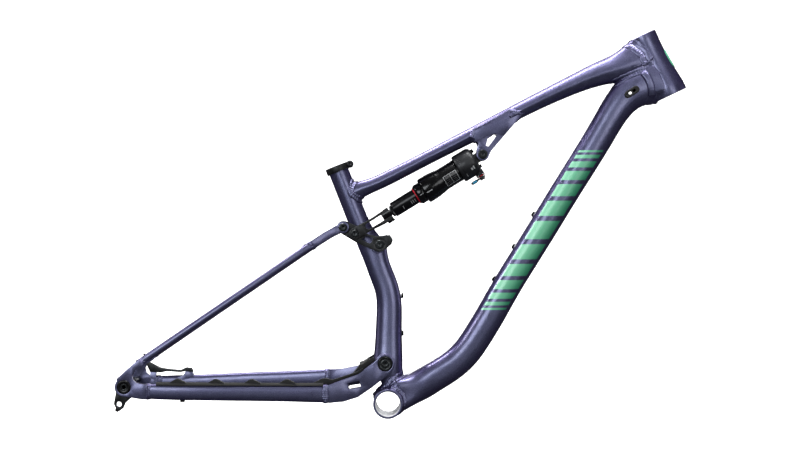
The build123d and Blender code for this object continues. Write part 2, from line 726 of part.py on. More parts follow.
# --- derailleur hanger, its thread insert and its bolt ------------------------------
hanger_eye = (-445.2, 3.2)
hanger_eye_r = 4.6
hanger_thickness = 4.0
hanger_bolt_r = 8.0
hanger_outline = [
    (-450.4, 24.0), (-452.6, 12.0), (-454.2, 4.0), (-450.8, -3.4), (-452.6, -7.0),
    (-448.5, -10.2), (-443.6, -7.6), (-437.7, -2.6), (-434.9, 5.0), (-424.6, 14.4),
    (-423.4, 24.0), (-437.0, 34.0)]
with BuildPart() as derailleur_hanger:
    with BuildSketch(side(hub_half)):
        outline(*hanger_outline)
        with Locations(rear_axle):
            Circle(14.0)
        with Locations(rear_axle):
            Circle(hanger_bolt_r, mode=Mode.SUBTRACT)
        with Locations(hanger_eye):
            Circle(hanger_eye_r, mode=Mode.SUBTRACT)
    extrude(amount=hanger_thickness)
    cut(dropout_right)
save("derailleur_hanger", derailleur_hanger)

with BuildPart() as hanger_thread_insert:
    with BuildSketch(side(hub_half - 1.5)), Locations(hanger_eye):
        Circle(hanger_eye_r)
        Circle(4.25, mode=Mode.SUBTRACT)
    extrude(amount=7.0)
save("hanger_thread_insert", hanger_thread_insert)

with BuildPart() as hanger_bolt:
    with BuildSketch(side(hub_half)), Locations(rear_axle):
        Circle(hanger_bolt_r)
    extrude(amount=hanger_thickness)
    with BuildSketch(side(hub_half + hanger_thickness)), Locations(rear_axle):
        Circle(11.6)
    extrude(amount=4.4)
    chamfer(circles(hanger_bolt).sort_by(Axis.Y)[0], 0.8)
    with BuildSketch(side(70)), Locations(rear_axle):
        Circle(axle_hole_r)
    extrude(amount=20, mode=Mode.SUBTRACT)
save("hanger_bolt", hanger_bolt)

# --- thru axle, with its head on the left ------------------------------------------
axle_head_in, axle_head_out = 82.3, 87.0
with BuildPart() as thru_axle:
    with BuildSketch(side(-axle_head_in)), Locations(rear_axle):
        Circle(axle_r)
    extrude(amount=164.0)
    chamfer(circles(thru_axle).sort_by(Axis.Y)[0], 0.7)
    with BuildSketch(side(-axle_head_out)), Locations(rear_axle):
        Circle(9.0)
    extrude(amount=axle_head_out - axle_head_in)
    chamfer(circles(thru_axle).sort_by(Axis.Y)[-1], 1.2)
    with BuildSketch(side(-axle_head_out)), Locations(rear_axle):
        RegularPolygon(3.4, 6)
    extrude(amount=7.0, mode=Mode.SUBTRACT)
    with BuildSketch(side(-60.0)), Locations(rear_axle):
        Circle(3.6)
    extrude(amount=145.0, mode=Mode.SUBTRACT)
save("thru_axle", thru_axle)

# --- chainstays, from the dropout forward -------------------------------------------
# x, z, section angle, height, width, squareness, y
chainstay_stations = [
    (-408.0, 24.4, 90.0, 23.5, 12.0, 2.6, -73.0),
    (-388.0, 23.4, 90.0, 25.0, 14.0, 2.6, -72.6),
    (-340.0, 22.4, 90.0, 26.4, 16.5, 2.6, -71.0),
    (-262.7, 21.0, 90.0, 27.0, 18.0, 2.6, -65.0),
    (-190.0, 19.6, 90.0, 27.6, 18.0, 2.6, -57.4),
    (-140.0, 18.4, 90.0, 28.6, 18.0, 2.7, -52.2),
    (-104.0, 17.8, 90.0, 29.2, 17.8, 3.2, -48.4),
]
# how much higher the left stay sits at each station
left_rise = [0.6, 2.2, 4.0, 8.8, 13.4, 16.6, 18.5]
chainstay_left_stations = [(x, z + rise, *section, -y)
                           for (x, z, *section, y), rise in zip(chainstay_stations, left_rise)]


def chainstay(full, stations, arm, dropout):
    "hollow stay trimmed to its arm and dropout"
    void = lofted(oval, stations, grow=-stay_wall)
    with BuildPart() as stay:
        add(full.part)
        cut(void, arm, dropout)
    return stay


chainstay_full = lofted(oval, chainstay_stations)
chainstay_left_full = lofted(oval, chainstay_left_stations)
save("chainstay_right",
     chainstay(chainstay_full, chainstay_stations, arm_right, dropout_right))
save("chainstay_left",
     chainstay(chainstay_left_full, chainstay_left_stations, arm_left, dropout_left))

# --- protector along the top of the drive-side chainstay ---------------------------
protector_stations = [
    (x, z + 1.9, angle, height + 3.2, width + 2.6, squareness, y)
    for x, z, angle, height, width, squareness, y in [
        (-384.0, 23.3, 90.0, 25.1, 14.2, 2.6, -72.5),
        *chainstay_stations[2:6],
        (-108.0, 17.9, 90.0, 29.6, 17.6, 2.9, -48.7)]]
block_centres = [(-349.0, -71.6, 38.0), (-286.0, -66.9, 37.2),
                 (-226.0, -61.2, 36.4), (-168.0, -55.1, 35.8)]
block_width = 11.0
# (x, z) about the block centre
block_outline = [(-15, -1.4), (-13, 0.8), (-3, 6.8), (1, 6.8), (13, 1.2), (15, -1.4),
                 (10, -5.0), (-10, -5.0)]
protector_tail = [
    (-124.0, 33.0), (-97.3, 33.0), (-78.0, 40.6), (-50.0, 50.6), (-40.6, 57.6), (-42.0, 60.6),
    (-51.4, 54.4), (-79.0, 45.4), (-92.0, 41.0), (-104.0, 43.4), (-112.0, 42.2), (-124.0, 36.2)]
with BuildPart() as chainstay_protector:
    loft(sections=[oval(*station) for station in protector_stations])
    # only the top strip is kept
    with BuildSketch(side(30)):
        outline((-400, 34.6), (-240, 33.4), (-100, 31.4), (-100, -20), (-400, -20))
    extrude(amount=60, mode=Mode.SUBTRACT)
    for block_x, block_y, block_z in block_centres:
        with BuildSketch(side(-block_y - block_width / 2)):
            outline(*[(block_x + x, block_z + z) for x, z in block_outline])
        extrude(amount=block_width)
    # front tail, laid on top of the pivot arm
    with BuildSketch(side(40.2)):
        outline(*protector_tail)
    extrude(amount=9.0)
    cut(chainstay_full, arm_right, dropout_right)
save("chainstay_protector", chainstay_protector)

# --- small mud guard behind the seat tube ---------------------------------------------
guard_half = 29.0
guard_ear_in, guard_ear_out = 32.0, 40.0
guard_sheet = [(-69.6, 36.4), (-54.0, 55.0), (-47.0, 63.6), (-33.0, 74.0),
               (-31.8, 71.8), (-45.4, 61.8), (-52.4, 53.6), (-66.0, 36.0)]
guard_ear = [(-50.4, 51.4), (-48.4, 65.0), (-43.0, 66.6), (-24.6, 78.0),
             (-21.6, 73.2), (-24.0, 70.6), (-36.0, 62.0)]
guard_rib = [(-50.0, 60.0), (-48.4, 65.0), (-43.0, 66.6), (-35.0, 71.4), (-33.6, 69.4),
             (-44.6, 61.4)]
with BuildPart() as pivot_mud_guard:
    with BuildSketch(side(-guard_half)):
        outline(*guard_sheet)
    extrude(amount=2 * guard_half)
    cut(chainstay_bridge, arm_right, arm_left)
    # ears that sit on top of the two arms, and the rib between them
    for ear_start in (-guard_ear_out, guard_ear_in):
        with BuildSketch(side(ear_start)):
            outline(*guard_ear)
        extrude(amount=guard_ear_out - guard_ear_in)
    with BuildSketch(side(-guard_ear_in)):
        outline(*guard_rib)
    extrude(amount=2 * guard_ear_in)
    cut(arm_right, arm_left)
save("pivot_mud_guard", pivot_mud_guard)

# --- brake mount on the left side: two posts, an adapter and its bolts ---------------
# bolt axes are vertical; these places are (x, y)
brake_rear, brake_front = (-408.8, 70.0), (-345.6, 70.0)
brake_hole_r, brake_bolt_r = 3.0, 2.98
rear_head_z, front_head_z = 51.0, 48.7     # undersides of the bolt heads
front_post = [
    (-352.4, 46.0), (-354.4, 41.6), (-358.4, 38.0), (-366.0, 35.6), (-366.0, 28.0),
    (-334.0, 28.0), (-337.6, 38.0), (-340.0, 44.4)]
rear_post = [(-413.4, 44.4), (-413.8, 34.0), (-404.0, 30.0), (-403.8, 44.4)]
adapter_outline = [
    (-415.0, 61.7), (-408.9, 58.4), (-396.7, 52.3), (-384.5, 50.0), (-362.2, 47.8),
    (-350.6, 52.8), (-339.1, 48.9), (-339.9, 44.4), (-352.6, 46.0), (-361.2, 44.5),
    (-384.5, 46.2), (-395.7, 43.9), (-403.3, 44.4), (-413.4, 44.4), (-417.8, 53.3),
    (-420.0, 58.4)]
with BuildPart() as brake_mount_posts:
    with BuildSketch(side(-76.4)):
        outline(*front_post)
        outline(*rear_post)
    extrude(amount=12.4)
    cut(chainstay_left_full, dropout_left)
    with BuildSketch(Plane.XY.offset(60)), Locations(brake_rear, brake_front):
        Circle(brake_hole_r)
    extrude(amount=-20.4, mode=Mode.SUBTRACT)
save("brake_mount_posts", brake_mount_posts)

with BuildPart() as brake_adapter:
    with BuildSketch(side(-76)):
        outline(*adapter_outline)
    extrude(amount=12)
    cut(brake_mount_posts, dropout_left)
    with BuildSketch(Plane.XY.offset(80)), Locations(brake_rear, brake_front):
        Circle(brake_hole_r)
    extrude(amount=-50, mode=Mode.SUBTRACT)
    # seats for the two bolt heads
    with BuildSketch(Plane.XY.offset(rear_head_z)), Locations(brake_rear):
        Circle(5.3)
    extrude(amount=20, mode=Mode.SUBTRACT)
    with BuildSketch(Plane.XY.offset(front_head_z)), Locations(brake_front):
        Circle(5.4)
    extrude(amount=20, mode=Mode.SUBTRACT)
save("brake_adapter", brake_adapter)

with BuildPart() as brake_adapter_bolts:
    with BuildSketch(Plane.XY.offset(40.0)), Locations(brake_rear, brake_front):
        Circle(brake_bolt_r)
    extrude(amount=front_head_z - 40.0)
    with BuildSketch(Plane.XY.offset(front_head_z)), Locations(brake_rear):
        Circle(brake_bolt_r)
    extrude(amount=rear_head_z - front_head_z)
    for place, head_z, head_height in [(brake_rear, rear_head_z, 3.6),
                                       (brake_front, front_head_z, 3.0)]:
        with BuildSketch(Plane.XY.offset(head_z)), Locations(place):
            Circle(4.6)
        extrude(amount=head_height)
    with BuildSketch(Plane.XY.offset(60)), Locations(brake_rear, brake_front):
        RegularPolygon(2.4, 6)
    extrude(amount=-10.6, mode=Mode.SUBTRACT)
save("brake_adapter_bolts", brake_adapter_bolts)

# ===========================================================================
# SEATSTAYS
# ===========================================================================
fork_side = [
    (-84.6, 300.6), (-108.0, 287.4), (-127.0, 274.8), (-133.0, 270.8), (-125.6, 259.9),
    (-108.7, 270.9), (-92.7, 280.4), (-80.0, 286.4),
    *arc_points(stay_pivot, 10.0, -108, 130, 14)]
# plan of the right end, (x, y)
fork_plan = [
    (-62.0, -tab_in), (-90.0, -tab_in), (-104.0, -33.4), (-136.0, -39.4),
    (-136.0, -54.0), (-104.0, -44.6), (-88.0, -tab_out), (-62.0, -tab_out)]
with BuildPart() as fork_end_right:
    with BuildSketch(side(28)):
        outline(*fork_side)
    extrude(amount=30)
    with BuildSketch(Plane.XY.offset(240)):
        outline(*fork_plan)
    extrude(amount=90, mode=Mode.INTERSECT)
    with BuildSketch(side(28)), Locations(stay_pivot):
        Circle(link_bolt_r)
    extrude(amount=14, mode=Mode.SUBTRACT)
save("seatstay_fork_end_right", fork_end_right)

with BuildPart() as fork_end_left:
    mirror(fork_end_right.part, about=Plane.XZ)
save("seatstay_fork_end_left", fork_end_left)

# x, z, section angle, height, width, squareness, y; from the dropout up
stay_angle = degrees(atan2(267.0 - 73.2, -126.5 + 410.0)) + 90
seatstay_stations = [
    (-414.0, 70.4, stay_angle, 11.6, 9.0, 2.4, -74.2),
    (-396.0, 82.7, stay_angle, 12.0, 11.0, 2.4, -73.4),
    (-356.3, 109.9, stay_angle, 12.0, 14.0, 2.4, -70.4),
    (-290.0, 155.2, stay_angle, 12.0, 16.0, 2.4, -65.0),
    (-220.0, 203.0, stay_angle, 12.2, 16.5, 2.4, -57.6),
    (-160.0, 244.1, stay_angle, 12.6, 15.4, 2.4, -50.6),
    (-127.0, 266.7, stay_angle, 13.0, 14.0, 2.4, -46.2),
]
seatstay_full = lofted(oval, seatstay_stations)
with BuildPart() as seatstay_right:
    add(seatstay_full.part)
    cut(fork_end_right, dropout_right)
save("seatstay_right", seatstay_right)

with BuildPart() as seatstay_left:
    mirror(seatstay_full.part, about=Plane.XZ)
    cut(fork_end_left, dropout_left)
save("seatstay_left", seatstay_left)

with BuildPart() as seatstay_bridge:
    with BuildLine() as bridge_path:
        Spline((-141.0, -50.5, 256.6), (-139.6, -38.0, 260.6), (-138.2, -18.0, 263.8),
               (-137.6, 0.0, 264.6),
               (-138.2, 18.0, 263.8), (-139.6, 38.0, 260.6), (-141.0, 50.5, 256.6))
    with BuildSketch(Plane(origin=bridge_path.line @ 0, z_dir=bridge_path.line % 0)):
        Circle(5.4)
    sweep()
    cut(seatstay_full)
    mirror(seatstay_full.part, about=Plane.XZ, mode=Mode.SUBTRACT)
    cut(fork_end_right, fork_end_left)
    # only the span between the stays is kept
    with BuildSketch(Plane.XY.offset(200)):
        outline((-180, -45.4), (-100, -36.0), (-100, 36.0), (-180, 45.4))
    extrude(amount=120, mode=Mode.INTERSECT)
save("seatstay_bridge", seatstay_bridge)

save("seatstay_pivot_bolts", bolt_pair(
    stay_pivot, inner=tab_in, outer=tab_out, shank_r=link_bolt_r,
    head_r=6.9, head_height=2.6, socket_r=2.9, socket_depth=4.0))

# ===========================================================================
# ROCKER
# ===========================================================================
rocker_outline = [
    *arc_points(stay_pivot, 11.0, 250, 60, 14),
    (-61.0, 302.2), (-50.0, 297.2), (-35.0, 285.2), (-20.0, 281.4), (-12.6, 281.6),
    (-1.6, 283.4), (5.4, 280.4), (8.4, 274.6), (6.4, 268.4), (0.2, 262.6), (-2.2, 260.4),
    *arc_points(rocker_pivot, 12.4, -52, -110, 5),
    (-36.4, 262.8), (-54.4, 271.2), (-66.0, 278.0)]
# between the yoke pivot and the rocker pivot
rocker_window = [(-44.6, 275.6), (-37.6, 281.4), (-34.0, 282.0), (-25.4, 277.8),
                 (-27.4, 270.6), (-31.4, 268.8)]
with BuildPart() as rocker_link:
    with BuildSketch(side(rocker_in)):
        outline(*rocker_outline)
        outline(*rocker_window, mode=Mode.SUBTRACT)
        with Locations(rocker_pivot):
            Circle(rocker_bearing_r, mode=Mode.SUBTRACT)
    extrude(amount=rocker_out - rocker_in)
    # bearing pockets for the two small pivots, open to the inside
    with BuildSketch(side(rocker_in - 0.5)), Locations(stay_pivot, yoke_pivot):
        Circle(link_bearing_r)
    extrude(amount=6.5, mode=Mode.SUBTRACT)
    with BuildSketch(side(rocker_in)), Locations(stay_pivot, yoke_pivot):
        Circle(5.2)
    extrude(amount=10, mode=Mode.SUBTRACT)
    mirror(about=Plane.XZ)
    # bridge in front of the seat tube
    with BuildSketch(side(-rocker_in - 1)):
        outline(*arc_points(rocker_pivot, 16.4, 20, 54, 6),
                *arc_points(rocker_pivot, 23.0, 46, 18, 6))
    extrude(amount=2 * rocker_in + 2)
save("rocker_link", rocker_link)

# each bearing has a ring groove in one face
with BuildPart() as rocker_bearings:
    with BuildSketch(side(23.6)), Locations(rocker_pivot):
        Circle(rocker_bearing_r)
        Circle(rocker_bolt_r + 0.04, mode=Mode.SUBTRACT)
    extrude(amount=5.8)
    with BuildSketch(side(29.4)), Locations(rocker_pivot):
        Circle(8.8)
        Circle(7.5, mode=Mode.SUBTRACT)
    extrude(amount=-0.4, mode=Mode.SUBTRACT)
    with BuildSketch(side(24.0)), Locations(stay_pivot, yoke_pivot):
        Circle(link_bearing_r)
        Circle(4.0, mode=Mode.SUBTRACT)
    extrude(amount=5.0)
    with BuildSketch(side(24.0)), Locations(stay_pivot, yoke_pivot):
        Circle(7.1)
        Circle(5.3, mode=Mode.SUBTRACT)
    extrude(amount=0.4, mode=Mode.SUBTRACT)
    mirror(about=Plane.XZ)
save("rocker_bearings", rocker_bearings)

# ===========================================================================
# SHOCK
# ===========================================================================
# radii
shaft_r = 13.1
can_r = 19.6
can_bore_r = 17.0
head_can_r = 24.5
bulge_r = 22.6
cap_r = 17.9
rod_r = 4.5
rod_tip_r = 3.0
eye_bushing_r = 7.5
# distances back from the front eye
rod_front = 22.0
can_front = 48.6
can_rear = 118.6
shaft_front = 118.0
rod_shoulder = 124.0
shaft_rear = 178.6
yoke_bolt_back = 190.5

# --- head: reservoir can with the front eye on it ---------------------------
control_back = 21.0         # control tower, measured back from the front eye
stem_hole_r = 3.26
control_plane = Plane(origin=shock_point(0, control_back), x_dir=shock_back, z_dir=shock_down)
with BuildPart() as shock_head:
    with BuildSketch(shock_plane):
        outline((0, 13.6), (13.0, 13.6), (18.4, 14.2), (21.6, 16.0), (23.6, 19.0),
                (head_can_r, 23.0), (head_can_r, 46.0), (23.4, can_front),
                (can_bore_r, can_front), (can_bore_r, 40.0), (rod_r, 40.0),
                (rod_r, rod_front), (0, rod_front))
    revolve(axis=shock_axis)
    # front eye and the neck behind it
    with BuildSketch(side(-10.2)), Locations(shock_pivot):
        Circle(9.6)
    extrude(amount=20.4)
    with BuildSketch(shock_plane.offset(-10.2)), Locations((0, 9.0)):
        Rectangle(17.0, 12.0)
    extrude(amount=20.4)
    with BuildSketch(side(-11)), Locations(shock_pivot):
        Circle(eye_bushing_r)
    extrude(amount=22, mode=Mode.SUBTRACT)
    # control tower on the underside: base, stem for the knob and the lever, collar
    for start, radius, height in [(19.0, 7.6, 8.4), (27.4, 3.2, 9.0), (34.6, 4.8, 2.2)]:
        with BuildSketch(control_plane.offset(start)):
            Circle(radius)
        extrude(amount=height)
save("shock_head", shock_head)

with BuildPart() as shock_eye_bushing:
    with BuildSketch(side(-10.3)), Locations(shock_pivot):
        Circle(eye_bushing_r)
        Circle(link_bolt_r + 0.04, mode=Mode.SUBTRACT)
    extrude(amount=20.6)
save("shock_eye_bushing", shock_eye_bushing)

save("shock_air_can", turned(
    (can_bore_r, can_front), (can_bore_r, can_rear), (bulge_r - 2.0, can_rear),
    (bulge_r, 116.0), (bulge_r, 103.0), (bulge_r - 0.5, 97.0), (bulge_r - 1.6, 88.0),
    (bulge_r - 2.4, 84.0), (can_r, 80.0), (can_r, can_front)))

save("shock_seal_head", turned(
    (shaft_r + 0.05, can_rear), (cap_r, can_rear), (cap_r, 128.0), (cap_r - 1.4, 131.0),
    (shaft_r + 1.0, 131.0), (shaft_r + 0.05, 130.0)))

save("damper_rod", turned(
    (0, rod_front), (rod_r, rod_front), (rod_r, rod_shoulder), (rod_tip_r, rod_shoulder),
    (rod_tip_r, 131.6), (0, 131.6)))

with BuildPart() as damper_piston:
    with BuildSketch(shock_plane):
        outline((rod_tip_r, rod_shoulder), (10.5, rod_shoulder), (10.95, 124.6),
                (10.95, 129.4), (10.5, 130.0), (rod_tip_r, 130.0))
    revolve(axis=shock_axis)
    # ring of through holes
    with BuildSketch(Plane(origin=shock_point(0, 123), x_dir=(0, 1, 0), z_dir=shock_back)):
        with PolarLocations(7.0, 6):
            Circle(1.1)
    extrude(amount=8, mode=Mode.SUBTRACT)
save("damper_piston", damper_piston)

# damper body: slides in the air can
save("shock_shaft", turned(
    (11.0, shaft_front), (shaft_r, shaft_front), (shaft_r, 177.0),
    (shaft_r - 0.8, shaft_rear), (0, shaft_rear), (0, 175.0), (11.0, 175.0)))

save("air_piston", turned(
    (rod_r + 0.04, 110.0), (16.4, 110.0), (16.4, 111.0), (16.96, 111.4), (16.96, 114.6),
    (16.4, 115.0), (16.4, 117.0), (shaft_r, 117.0), (shaft_r, shaft_front),
    (11.0, shaft_front), (11.0, 122.4), (rod_r + 0.04, 122.4)))

with BuildPart() as travel_oring:
    with BuildSketch(shock_plane), Locations((shaft_r + 0.05 + 1.0, 132.6)):
        RectangleRounded(2.0, 2.2, 0.9)
    revolve(axis=shock_axis)
save("travel_oring", travel_oring)


# --- rear end block of the shock, gripped by the yoke ------------------------------
def yoke_bolt_plane(below, normal=shock_down):
    "plane across the bolt that joins the yoke to the rear block"
    return Plane(origin=shock_point(below, yoke_bolt_back), x_dir=(0, 1, 0), z_dir=normal)


yoke_bolt_r = 4.0
slot_top, slot_bottom = -3.9, 6.5       # slot in the yoke, distances below the shock axis
with BuildPart() as shock_rear_block:
    with BuildSketch(shock_plane.offset(-10.5)):
        outline((-9.0, shaft_rear), (-9.0, 182.0), (slot_top, 184.0), (slot_top, 200.6),
                (slot_bottom, 200.6), (slot_bottom, 184.0), (11.0, 182.0), (11.0, shaft_rear))
    extrude(amount=21.0)
    with BuildSketch(yoke_bolt_plane(0)):
        Circle(yoke_bolt_r)
    extrude(amount=30, both=True, mode=Mode.SUBTRACT)
save("shock_rear_block", shock_rear_block)

# (distance below the axis, distance back); the eye is computed
yoke_eye_r = 10.0
yoke_outline = [
    (-9.2, 185.0), (-8.2, 206.0), (-7.6, 226.0), (-9.0, 242.0),
    *[(-yoke_eye_r * cos(radians(a)), shock_length + yoke_eye_r * sin(radians(a)))
      for a in range(-10, 191, 20)],
    (10.0, 242.0), (10.4, 226.0), (12.7, 204.0), (12.7, 185.0)]
yoke_slot = [
    (slot_top, 180.0), (slot_top, 229.0), (-2.0, 232.6), (2.6, 233.6), (6.0, 230.6),
    (slot_bottom, 224.0), (slot_bottom, 180.0)]
# (y, distance back): two plates that close in to a narrow nose
yoke_plan = [
    (-13.0, 184.0), (-13.0, 206.0), (-yoke_out, 238.0), (-yoke_out, 268.0),
    (-yoke_in, 268.0), (-yoke_in, 236.0), (-9.0, 210.5), (9.0, 210.5),
    (yoke_in, 236.0), (yoke_in, 268.0), (yoke_out, 268.0), (yoke_out, 238.0),
    (13.0, 206.0), (13.0, 184.0)]
with BuildPart() as shock_yoke:
    with BuildSketch(shock_plane.offset(-yoke_out)):
        outline(*yoke_outline)
        outline(*yoke_slot, mode=Mode.SUBTRACT)
        with Locations((0, shock_length)):
            Circle(link_bolt_r, mode=Mode.SUBTRACT)
    extrude(amount=2 * yoke_out)
    with BuildSketch(Plane(origin=shock_origin, x_dir=(0, 1, 0), z_dir=shock_up)):
        outline(*yoke_plan)
    extrude(amount=40, both=True, mode=Mode.INTERSECT)
    with BuildSketch(yoke_bolt_plane(0)):
        Circle(yoke_bolt_r)
    extrude(amount=30, both=True, mode=Mode.SUBTRACT)
save("shock_yoke", shock_yoke)

bolt_top, bolt_seat, bolt_bottom = -9.6, 12.7, 16.3     # distances below the shock axis
with BuildPart() as yoke_shock_bolt:
    with BuildSketch(yoke_bolt_plane(bolt_top)):
        Circle(yoke_bolt_r)
    extrude(amount=bolt_seat - bolt_top)
    with BuildSketch(yoke_bolt_plane(bolt_seat)):
        Circle(6.4)
    extrude(amount=bolt_bottom - bolt_seat)
    with BuildSketch(yoke_bolt_plane(bolt_bottom, shock_up)):
        RegularPolygon(3.0, 6)
    extrude(amount=3.0, mode=Mode.SUBTRACT)
save("yoke_shock_bolt", yoke_shock_bolt)

save("yoke_pivot_bolts", bolt_pair(
    yoke_pivot, inner=yoke_in, outer=yoke_out, shank_r=link_bolt_r,
    head_r=6.5, head_height=2.6, socket_r=2.9, socket_depth=4.0))

# --- controls on the shock head ---------------------------------------------------------
with BuildPart() as rebound_knob:
    with BuildSketch(control_plane.offset(27.6)):
        with PolarLocations(6.6, 12):
            Circle(0.9)
        Circle(6.8)
        Circle(stem_hole_r, mode=Mode.SUBTRACT)
    extrude(amount=3.0)
save("rebound_knob", rebound_knob)

paddle_half = 3.9
paddle_plane = Plane(origin=shock_point(0, control_back), x_dir=shock_back, z_dir=(0, -1, 0))
with BuildPart() as lockout_lever:
    with BuildSketch(control_plane.offset(30.9)):
        outline((0, 4.6), (19.0, 3.4), (21.4, 1.6), (21.4, -1.6), (19.0, -3.4), (0, -4.6))
        Circle(6.2)
        Circle(stem_hole_r, mode=Mode.SUBTRACT)
    extrude(amount=3.4)
    # thumb paddle
    with BuildSketch(paddle_plane.offset(-paddle_half)):
        outline((8.6, 31.2), (10.4, 30.2), (18.6, 30.2), (21.4, 31.4), (21.4, 34.4),
                (18.6, 35.8), (10.4, 35.8), (8.6, 34.0))
    extrude(amount=2 * paddle_half)
save("lockout_lever", lockout_lever)

# a round cap above the eye and a hexagonal one below it, both facing forward
cap_offset, cap_back, port_cap_r = 14.6, 14.4, 3.4
shock_front = (-shock_back[0], 0, -shock_back[2])
with BuildPart() as shock_port_caps:
    with BuildSketch(Plane(origin=shock_point(-cap_offset, cap_back), x_dir=(0, 1, 0),
                           z_dir=shock_front)):
        Circle(port_cap_r)
    extrude(amount=4.4)
    with BuildSketch(Plane(origin=shock_point(cap_offset, cap_back), x_dir=(0, 1, 0),
                           z_dir=shock_front)):
        RegularPolygon(port_cap_r, 6)
    extrude(amount=3.4)
    cut(shock_head)
save("shock_port_caps", shock_port_caps)
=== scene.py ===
# Full-suspension bicycle frame with its rear shock, dressed over the CAD pieces.
# Metres: +X is the front, +Z is up, +Y is the rider's left. The bottom bracket
# axis is the Y axis. Lengths marked mm belong to the shock and seatstay tables.
import json
from functools import cache
from math import atan2, cos, floor, hypot, pi, radians, sin, sqrt

import bmesh
import bpy
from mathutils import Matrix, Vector
from mathutils.bvhtree import BVHTree


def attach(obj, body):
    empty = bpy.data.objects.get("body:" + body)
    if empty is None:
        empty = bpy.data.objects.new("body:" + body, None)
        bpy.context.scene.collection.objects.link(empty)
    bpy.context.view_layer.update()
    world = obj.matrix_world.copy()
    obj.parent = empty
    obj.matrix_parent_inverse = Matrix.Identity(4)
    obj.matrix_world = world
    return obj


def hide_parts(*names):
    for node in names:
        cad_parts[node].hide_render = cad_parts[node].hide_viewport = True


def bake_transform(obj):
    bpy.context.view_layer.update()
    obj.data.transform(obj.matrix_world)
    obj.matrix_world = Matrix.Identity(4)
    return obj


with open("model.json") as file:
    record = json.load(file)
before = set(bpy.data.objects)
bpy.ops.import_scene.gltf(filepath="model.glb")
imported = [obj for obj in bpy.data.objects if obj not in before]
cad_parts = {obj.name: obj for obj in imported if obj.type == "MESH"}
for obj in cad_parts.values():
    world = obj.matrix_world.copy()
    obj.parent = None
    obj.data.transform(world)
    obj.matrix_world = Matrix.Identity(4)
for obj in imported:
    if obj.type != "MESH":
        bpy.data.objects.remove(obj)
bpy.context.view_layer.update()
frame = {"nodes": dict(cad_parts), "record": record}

PIECES = frame["nodes"]
SIDES = (("right", -1), ("left", 1))  # name and sign of Y
MM = 1000                             # millimetres in a metre


# ---------------------------------------------------------------------------
# Shader helper
# ---------------------------------------------------------------------------
def srgb(red, green, blue):
    """Linear RGBA from 0-255 sRGB values."""
    def linear(value):
        value /= 255
        return value / 12.92 if value <= 0.04045 else ((value + 0.055) / 1.055) ** 2.4
    return (linear(red), linear(green), linear(blue), 1.0)


class Shader:
    """A material with a Principled shader, and short calls that add nodes."""

    def __init__(self, name):
        self.mat = bpy.data.materials.new(name)
        self.mat.use_nodes = True
        self.tree = self.mat.node_tree
        self.tree.nodes.clear()
        self.output = self.node("OutputMaterial")
        self.principled = self.node("BsdfPrincipled")
        self.put(self.output.inputs[0], self.principled.outputs[0])
        self.coords = self.node("TexCoord").outputs["Object"]

    def node(self, kind, **settings):
        node = self.tree.nodes.new("ShaderNode" + kind)
        for key, value in settings.items():
            setattr(node, key, value)
        return node

    def put(self, socket, value):
        """Link value to the socket if it is a socket, otherwise store it there."""
        if isinstance(value, bpy.types.NodeSocket):
            self.tree.links.new(value, socket)
        else:
            socket.default_value = value

    def fill(self, node, values):
        for key, value in values.items():
            self.put(node.inputs[key], value)

    def set(self, values):
        self.fill(self.principled, values)

    def math(self, operation, a, b, clamp=False):
        node = self.node("Math", operation=operation, use_clamp=clamp)
        self.fill(node, {0: a, 1: b, 2: 0.0})
        return node.outputs[0]

    def noise(self, scale, detail=3.0, rough=0.6):
        node = self.node("TexNoise")
        self.fill(node, {"Scale": scale, "Detail": detail, "Roughness": rough,
                         "Vector": self.coords})
        return node.outputs["Fac"]

    def voronoi(self, scale, output):
        node = self.node("TexVoronoi", feature="F1")
        self.fill(node, {"Scale": scale, "Vector": self.coords})
        return node.outputs[output]

    def ramp(self, factor, stops):
        """Colour ramp; stops are (position, colour)."""
        node = self.node("ValToRGB")
        elements = node.color_ramp.elements
        while len(elements) > 1:
            elements.remove(elements[-1])
        elements[0].position, elements[0].color = stops[0]
        for position, colour in stops[1:]:
            elements.new(position).color = colour
        self.put(node.inputs[0], factor)
        return node.outputs["Color"]

    def mix(self, factor, a, b):
        node = self.node("Mix", data_type="RGBA", blend_type="MIX")
        self.fill(node, {0: factor, 6: a, 7: b})
        return node.outputs[2]

    def remap(self, value, source, target):
        """Map the source range (low, high) onto the target range."""
        node = self.node("MapRange")
        self.fill(node, {"Value": value, "From Min": source[0], "From Max": source[1],
                         "To Min": target[0], "To Max": target[1]})
        return node.outputs[0]

    def bump(self, height, strength, distance, normal=None):
        node = self.node("Bump")
        self.fill(node, {"Strength": strength, "Distance": distance, "Height": height})
        if normal is not None:
            self.put(node.inputs["Normal"], normal)
        return node.outputs[0]

    def edge(self, radius):
        """0 on open surface, rising to 1 along sharp edges."""
        bevel = self.node("Bevel", samples=4)
        bevel.inputs["Radius"].default_value = radius
        geometry = self.node("NewGeometry")
        dot = self.node("VectorMath", operation="DOT_PRODUCT")
        self.fill(dot, {0: bevel.outputs[0], 1: geometry.outputs["Normal"]})
        return self.remap(dot.outputs["Value"], (0.995, 0.80), (0.0, 1.0))


